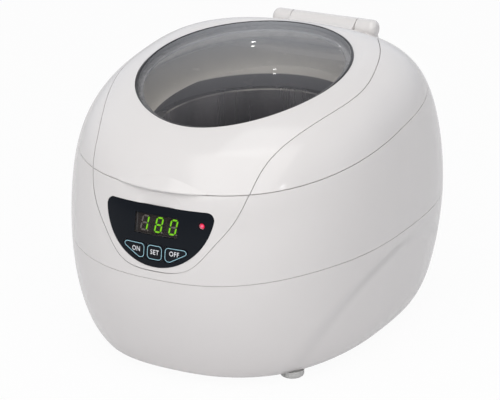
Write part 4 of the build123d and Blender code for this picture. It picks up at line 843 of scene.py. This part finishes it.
def key_outline(name, material):
    """Pale line round the edge of a key."""
    points = rounded_outline(key_corners(name), KEY_CORNER)
    outer = inset_line(points, OUTLINE_INSET)
    inner = inset_line(points, OUTLINE_INSET + OUTLINE_WIDTH)
    dense_outer, dense_inner = [], []
    for i, corner in enumerate(outer):
        j = (i + 1) % len(outer)
        steps = max(1, round((Vector(outer[j]) - Vector(corner)).length / OUTLINE_STEP))
        for step in range(steps):
            share = step / steps
            dense_outer.append(tuple(Vector(corner).lerp(Vector(outer[j]), share)))
            dense_inner.append(tuple(Vector(inner[i]).lerp(Vector(inner[j]), share)))
    total = len(dense_outer)
    faces = [(i, (i + 1) % total, total + (i + 1) % total, total + i) for i in range(total)]
    printed("outline_" + name, name, dense_outer + dense_inner, faces, material)


def key_letters(name, material):
    """Bold word on a key."""
    word, centre_x, centre_z = LETTERS[name]
    curve = bpy.data.curves.new("word_" + name, "FONT")
    curve.body = word
    curve.size = LETTER_HEIGHT * LETTER_SIZE
    curve.offset = LETTER_BOLDNESS
    curve.align_x = "CENTER"
    curve.align_y = "CENTER"
    curve.space_character = LETTER_SPACING
    curve.resolution_u = 4
    source = bpy.data.objects.new("word_" + name, curve)
    bpy.context.scene.collection.objects.link(source)
    bpy.context.view_layer.update()
    drawn = source.evaluated_get(bpy.context.evaluated_depsgraph_get())
    mesh = bpy.data.meshes.new_from_object(drawn)
    bpy.data.objects.remove(source)
    shape = bmesh.new()
    shape.from_mesh(mesh)
    long_edges = [edge for edge in shape.edges if edge.calc_length() > LETTER_EDGE]
    bmesh.ops.subdivide_edges(shape, edges=long_edges, cuts=2)
    bmesh.ops.triangulate(shape, faces=shape.faces)
    shape.verts.ensure_lookup_table()
    heights = [vertex.co.y for vertex in shape.verts]
    middle = (max(heights) + min(heights)) / 2
    vertices = [(centre_x + vertex.co.x * LETTER_SLIMNESS, centre_z + vertex.co.y - middle)
                for vertex in shape.verts]
    faces = [tuple(vertex.index for vertex in face.verts) for face in shape.faces]
    shape.free()
    printed("letters_" + name, name, vertices, faces, material)


def key_prints():
    """Lines and words on the three keys."""
    line = surface("line_cyan", srgb(160, 206, 220), 0.4, mottle=0.08, mottle_scale=400.0)
    white = surface("letter_white", srgb(228, 230, 234), 0.4, mottle=0.05, mottle_scale=400.0)
    for name in LETTERS:
        key_outline(name, line)
        key_letters(name, white)


# ======================================== setting
def add_camera():
    """Camera at the viewing angle of the picture to match."""
    data = bpy.data.cameras.new("camera")
    data.lens = CAMERA_LENS
    data.sensor_width = SENSOR_WIDTH
    data.sensor_fit = "HORIZONTAL"
    camera = bpy.data.objects.new("camera", data)
    camera.location = CAMERA_PLACE
    camera.rotation_euler = Vector(CAMERA_HEADING).to_track_quat("-Z", "Y").to_euler()
    bpy.context.scene.collection.objects.link(camera)
    bpy.context.scene.camera = camera


def add_softbox(name, place, target, size, power, colour=WHITE_LIGHT[:3]):
    """Square area lamp that faces a point."""
    data = bpy.data.lights.new(name, "AREA")
    data.shape = "RECTANGLE"
    data.size = size
    data.size_y = size
    data.energy = power
    data.color = colour
    lamp = bpy.data.objects.new(name, data)
    lamp.location = place
    lamp.rotation_euler = (Vector(target) - Vector(place)).to_track_quat("-Z", "Y").to_euler()
    bpy.context.scene.collection.objects.link(lamp)


def light_path_mask(tree):
    """1 for the rays that look at the background: camera, mirror and see-through rays."""
    path = tree.nodes.new("ShaderNodeLightPath")
    camera, mirror = path.outputs["Is Camera Ray"], path.outputs["Is Glossy Ray"]
    seen = calculated(tree, "MAXIMUM", camera, mirror)
    return calculated(tree, "MAXIMUM", seen, path.outputs["Is Transmission Ray"])


def studio_level(tree):
    """Level of the room: white to look at; in a mirror dimmer overhead, in front and low down."""
    place = tree.nodes.new("ShaderNodeTexCoord")
    axes = tree.nodes.new("ShaderNodeSeparateXYZ")
    tree.links.new(place.outputs["Generated"], axes.inputs[0])
    behind = spread(tree, axes.outputs["Y"], MIRRORED_IN_FRONT, 1.0, *FRONT_TO_REAR)
    above = spread(tree, axes.outputs["Z"], 1.0, MIRRORED_OVERHEAD, *UP_TO_OVERHEAD)
    low = spread(tree, axes.outputs["Z"], MIRRORED_LOW, 1.0, *LOW_TO_UP)
    path = tree.nodes.new("ShaderNodeLightPath")
    level = tree.nodes.new("ShaderNodeMix")
    level.inputs["A"].default_value = 1.0
    tree.links.new(path.outputs["Is Glossy Ray"], level.inputs["Factor"])
    tree.links.new(product(tree, product(tree, behind, above), low), level.inputs["B"])
    return level.outputs["Result"]


def mixed_by_ray(tree, output, share, lit, seen):
    """Links the output to the lit shader, and by the share to the seen one."""
    mix = tree.nodes.new("ShaderNodeMixShader")
    tree.links.new(share, mix.inputs[0])
    tree.links.new(lit.outputs[0], mix.inputs[1])
    tree.links.new(seen.outputs[0], mix.inputs[2])
    tree.links.new(mix.outputs[0], output.inputs["Surface"])


def add_world():
    """White background to look at, and a plain even light on the object."""
    world = bpy.data.worlds.new("studio")
    bpy.context.scene.world = world
    world.use_nodes = True
    tree = world.node_tree
    tree.nodes.clear()
    output = tree.nodes.new("ShaderNodeOutputWorld")
    light = tree.nodes.new("ShaderNodeBackground")
    light.inputs["Color"].default_value = AMBIENT_COLOUR
    light.inputs["Strength"].default_value = AMBIENT
    seen = tree.nodes.new("ShaderNodeBackground")
    path = tree.nodes.new("ShaderNodeLightPath")
    tint = ramp(tree, path.outputs["Is Glossy Ray"], WHITE_LIGHT, MIRRORED_COLOUR, 0.0, 1.0)
    tree.links.new(tint, seen.inputs["Color"])
    tree.links.new(studio_level(tree), seen.inputs["Strength"])
    mixed_by_ray(tree, output, light_path_mask(tree), light, seen)


def add_floor():
    """Pale floor that is white to look at and keeps the object's shadow."""
    mesh = bpy.data.meshes.new("floor")
    corners = [(-FLOOR_REACH, -FLOOR_REACH, 0), (FLOOR_REACH, -FLOOR_REACH, 0),
               (FLOOR_REACH, FLOOR_REACH, 0), (-FLOOR_REACH, FLOOR_REACH, 0)]
    mesh.from_pydata(corners, [], [(0, 1, 2, 3)])
    floor = bpy.data.objects.new("floor", mesh)
    bpy.context.scene.collection.objects.link(floor)
    material = bpy.data.materials.new("floor_white")
    material.use_nodes = True
    tree = material.node_tree
    tree.nodes.clear()
    output = tree.nodes.new("ShaderNodeOutputMaterial")
    lit = tree.nodes.new("ShaderNodeBsdfDiffuse")
    lit.inputs["Color"].default_value = FLOOR_COLOUR
    white = tree.nodes.new("ShaderNodeEmission")
    white.inputs["Color"].default_value = WHITE_LIGHT
    white.inputs["Strength"].default_value = 1.0
    path = tree.nodes.new("ShaderNodeLightPath")
    whiteness = spread(tree, path.outputs["Is Glossy Ray"], FLOOR_WHITE, FLOOR_MIRRORED, 0.0, 1.0)
    mixed_by_ray(tree, output, product(tree, light_path_mask(tree), whiteness), lit, white)
    mesh.materials.append(material)


def add_lights():
    """Large soft lamps above the camera and overhead, and small ones that only leave glints."""
    add_softbox("main", MAIN_PLACE, LIGHT_TARGET, MAIN_SIZE, MAIN_POWER, MAIN_COLOUR)
    add_softbox("overhead", OVERHEAD_PLACE, LIGHT_TARGET, OVERHEAD_SIZE, OVERHEAD_POWER)
    for name, (place, heading, size, power) in GLINTS.items():
        at = Vector(place) * MM
        add_softbox(name, at + Vector(heading) * GLINT_DISTANCE, at, size, power)


def main():
    """Dresses the frame and sets the scene."""
    add_camera()
    dress_nodes()
    display_face()
    display_digits()
    key_prints()
    window_bead()
    add_world()
    add_floor()
    add_lights()
    bpy.context.scene.view_settings.view_transform = "Standard"


main()
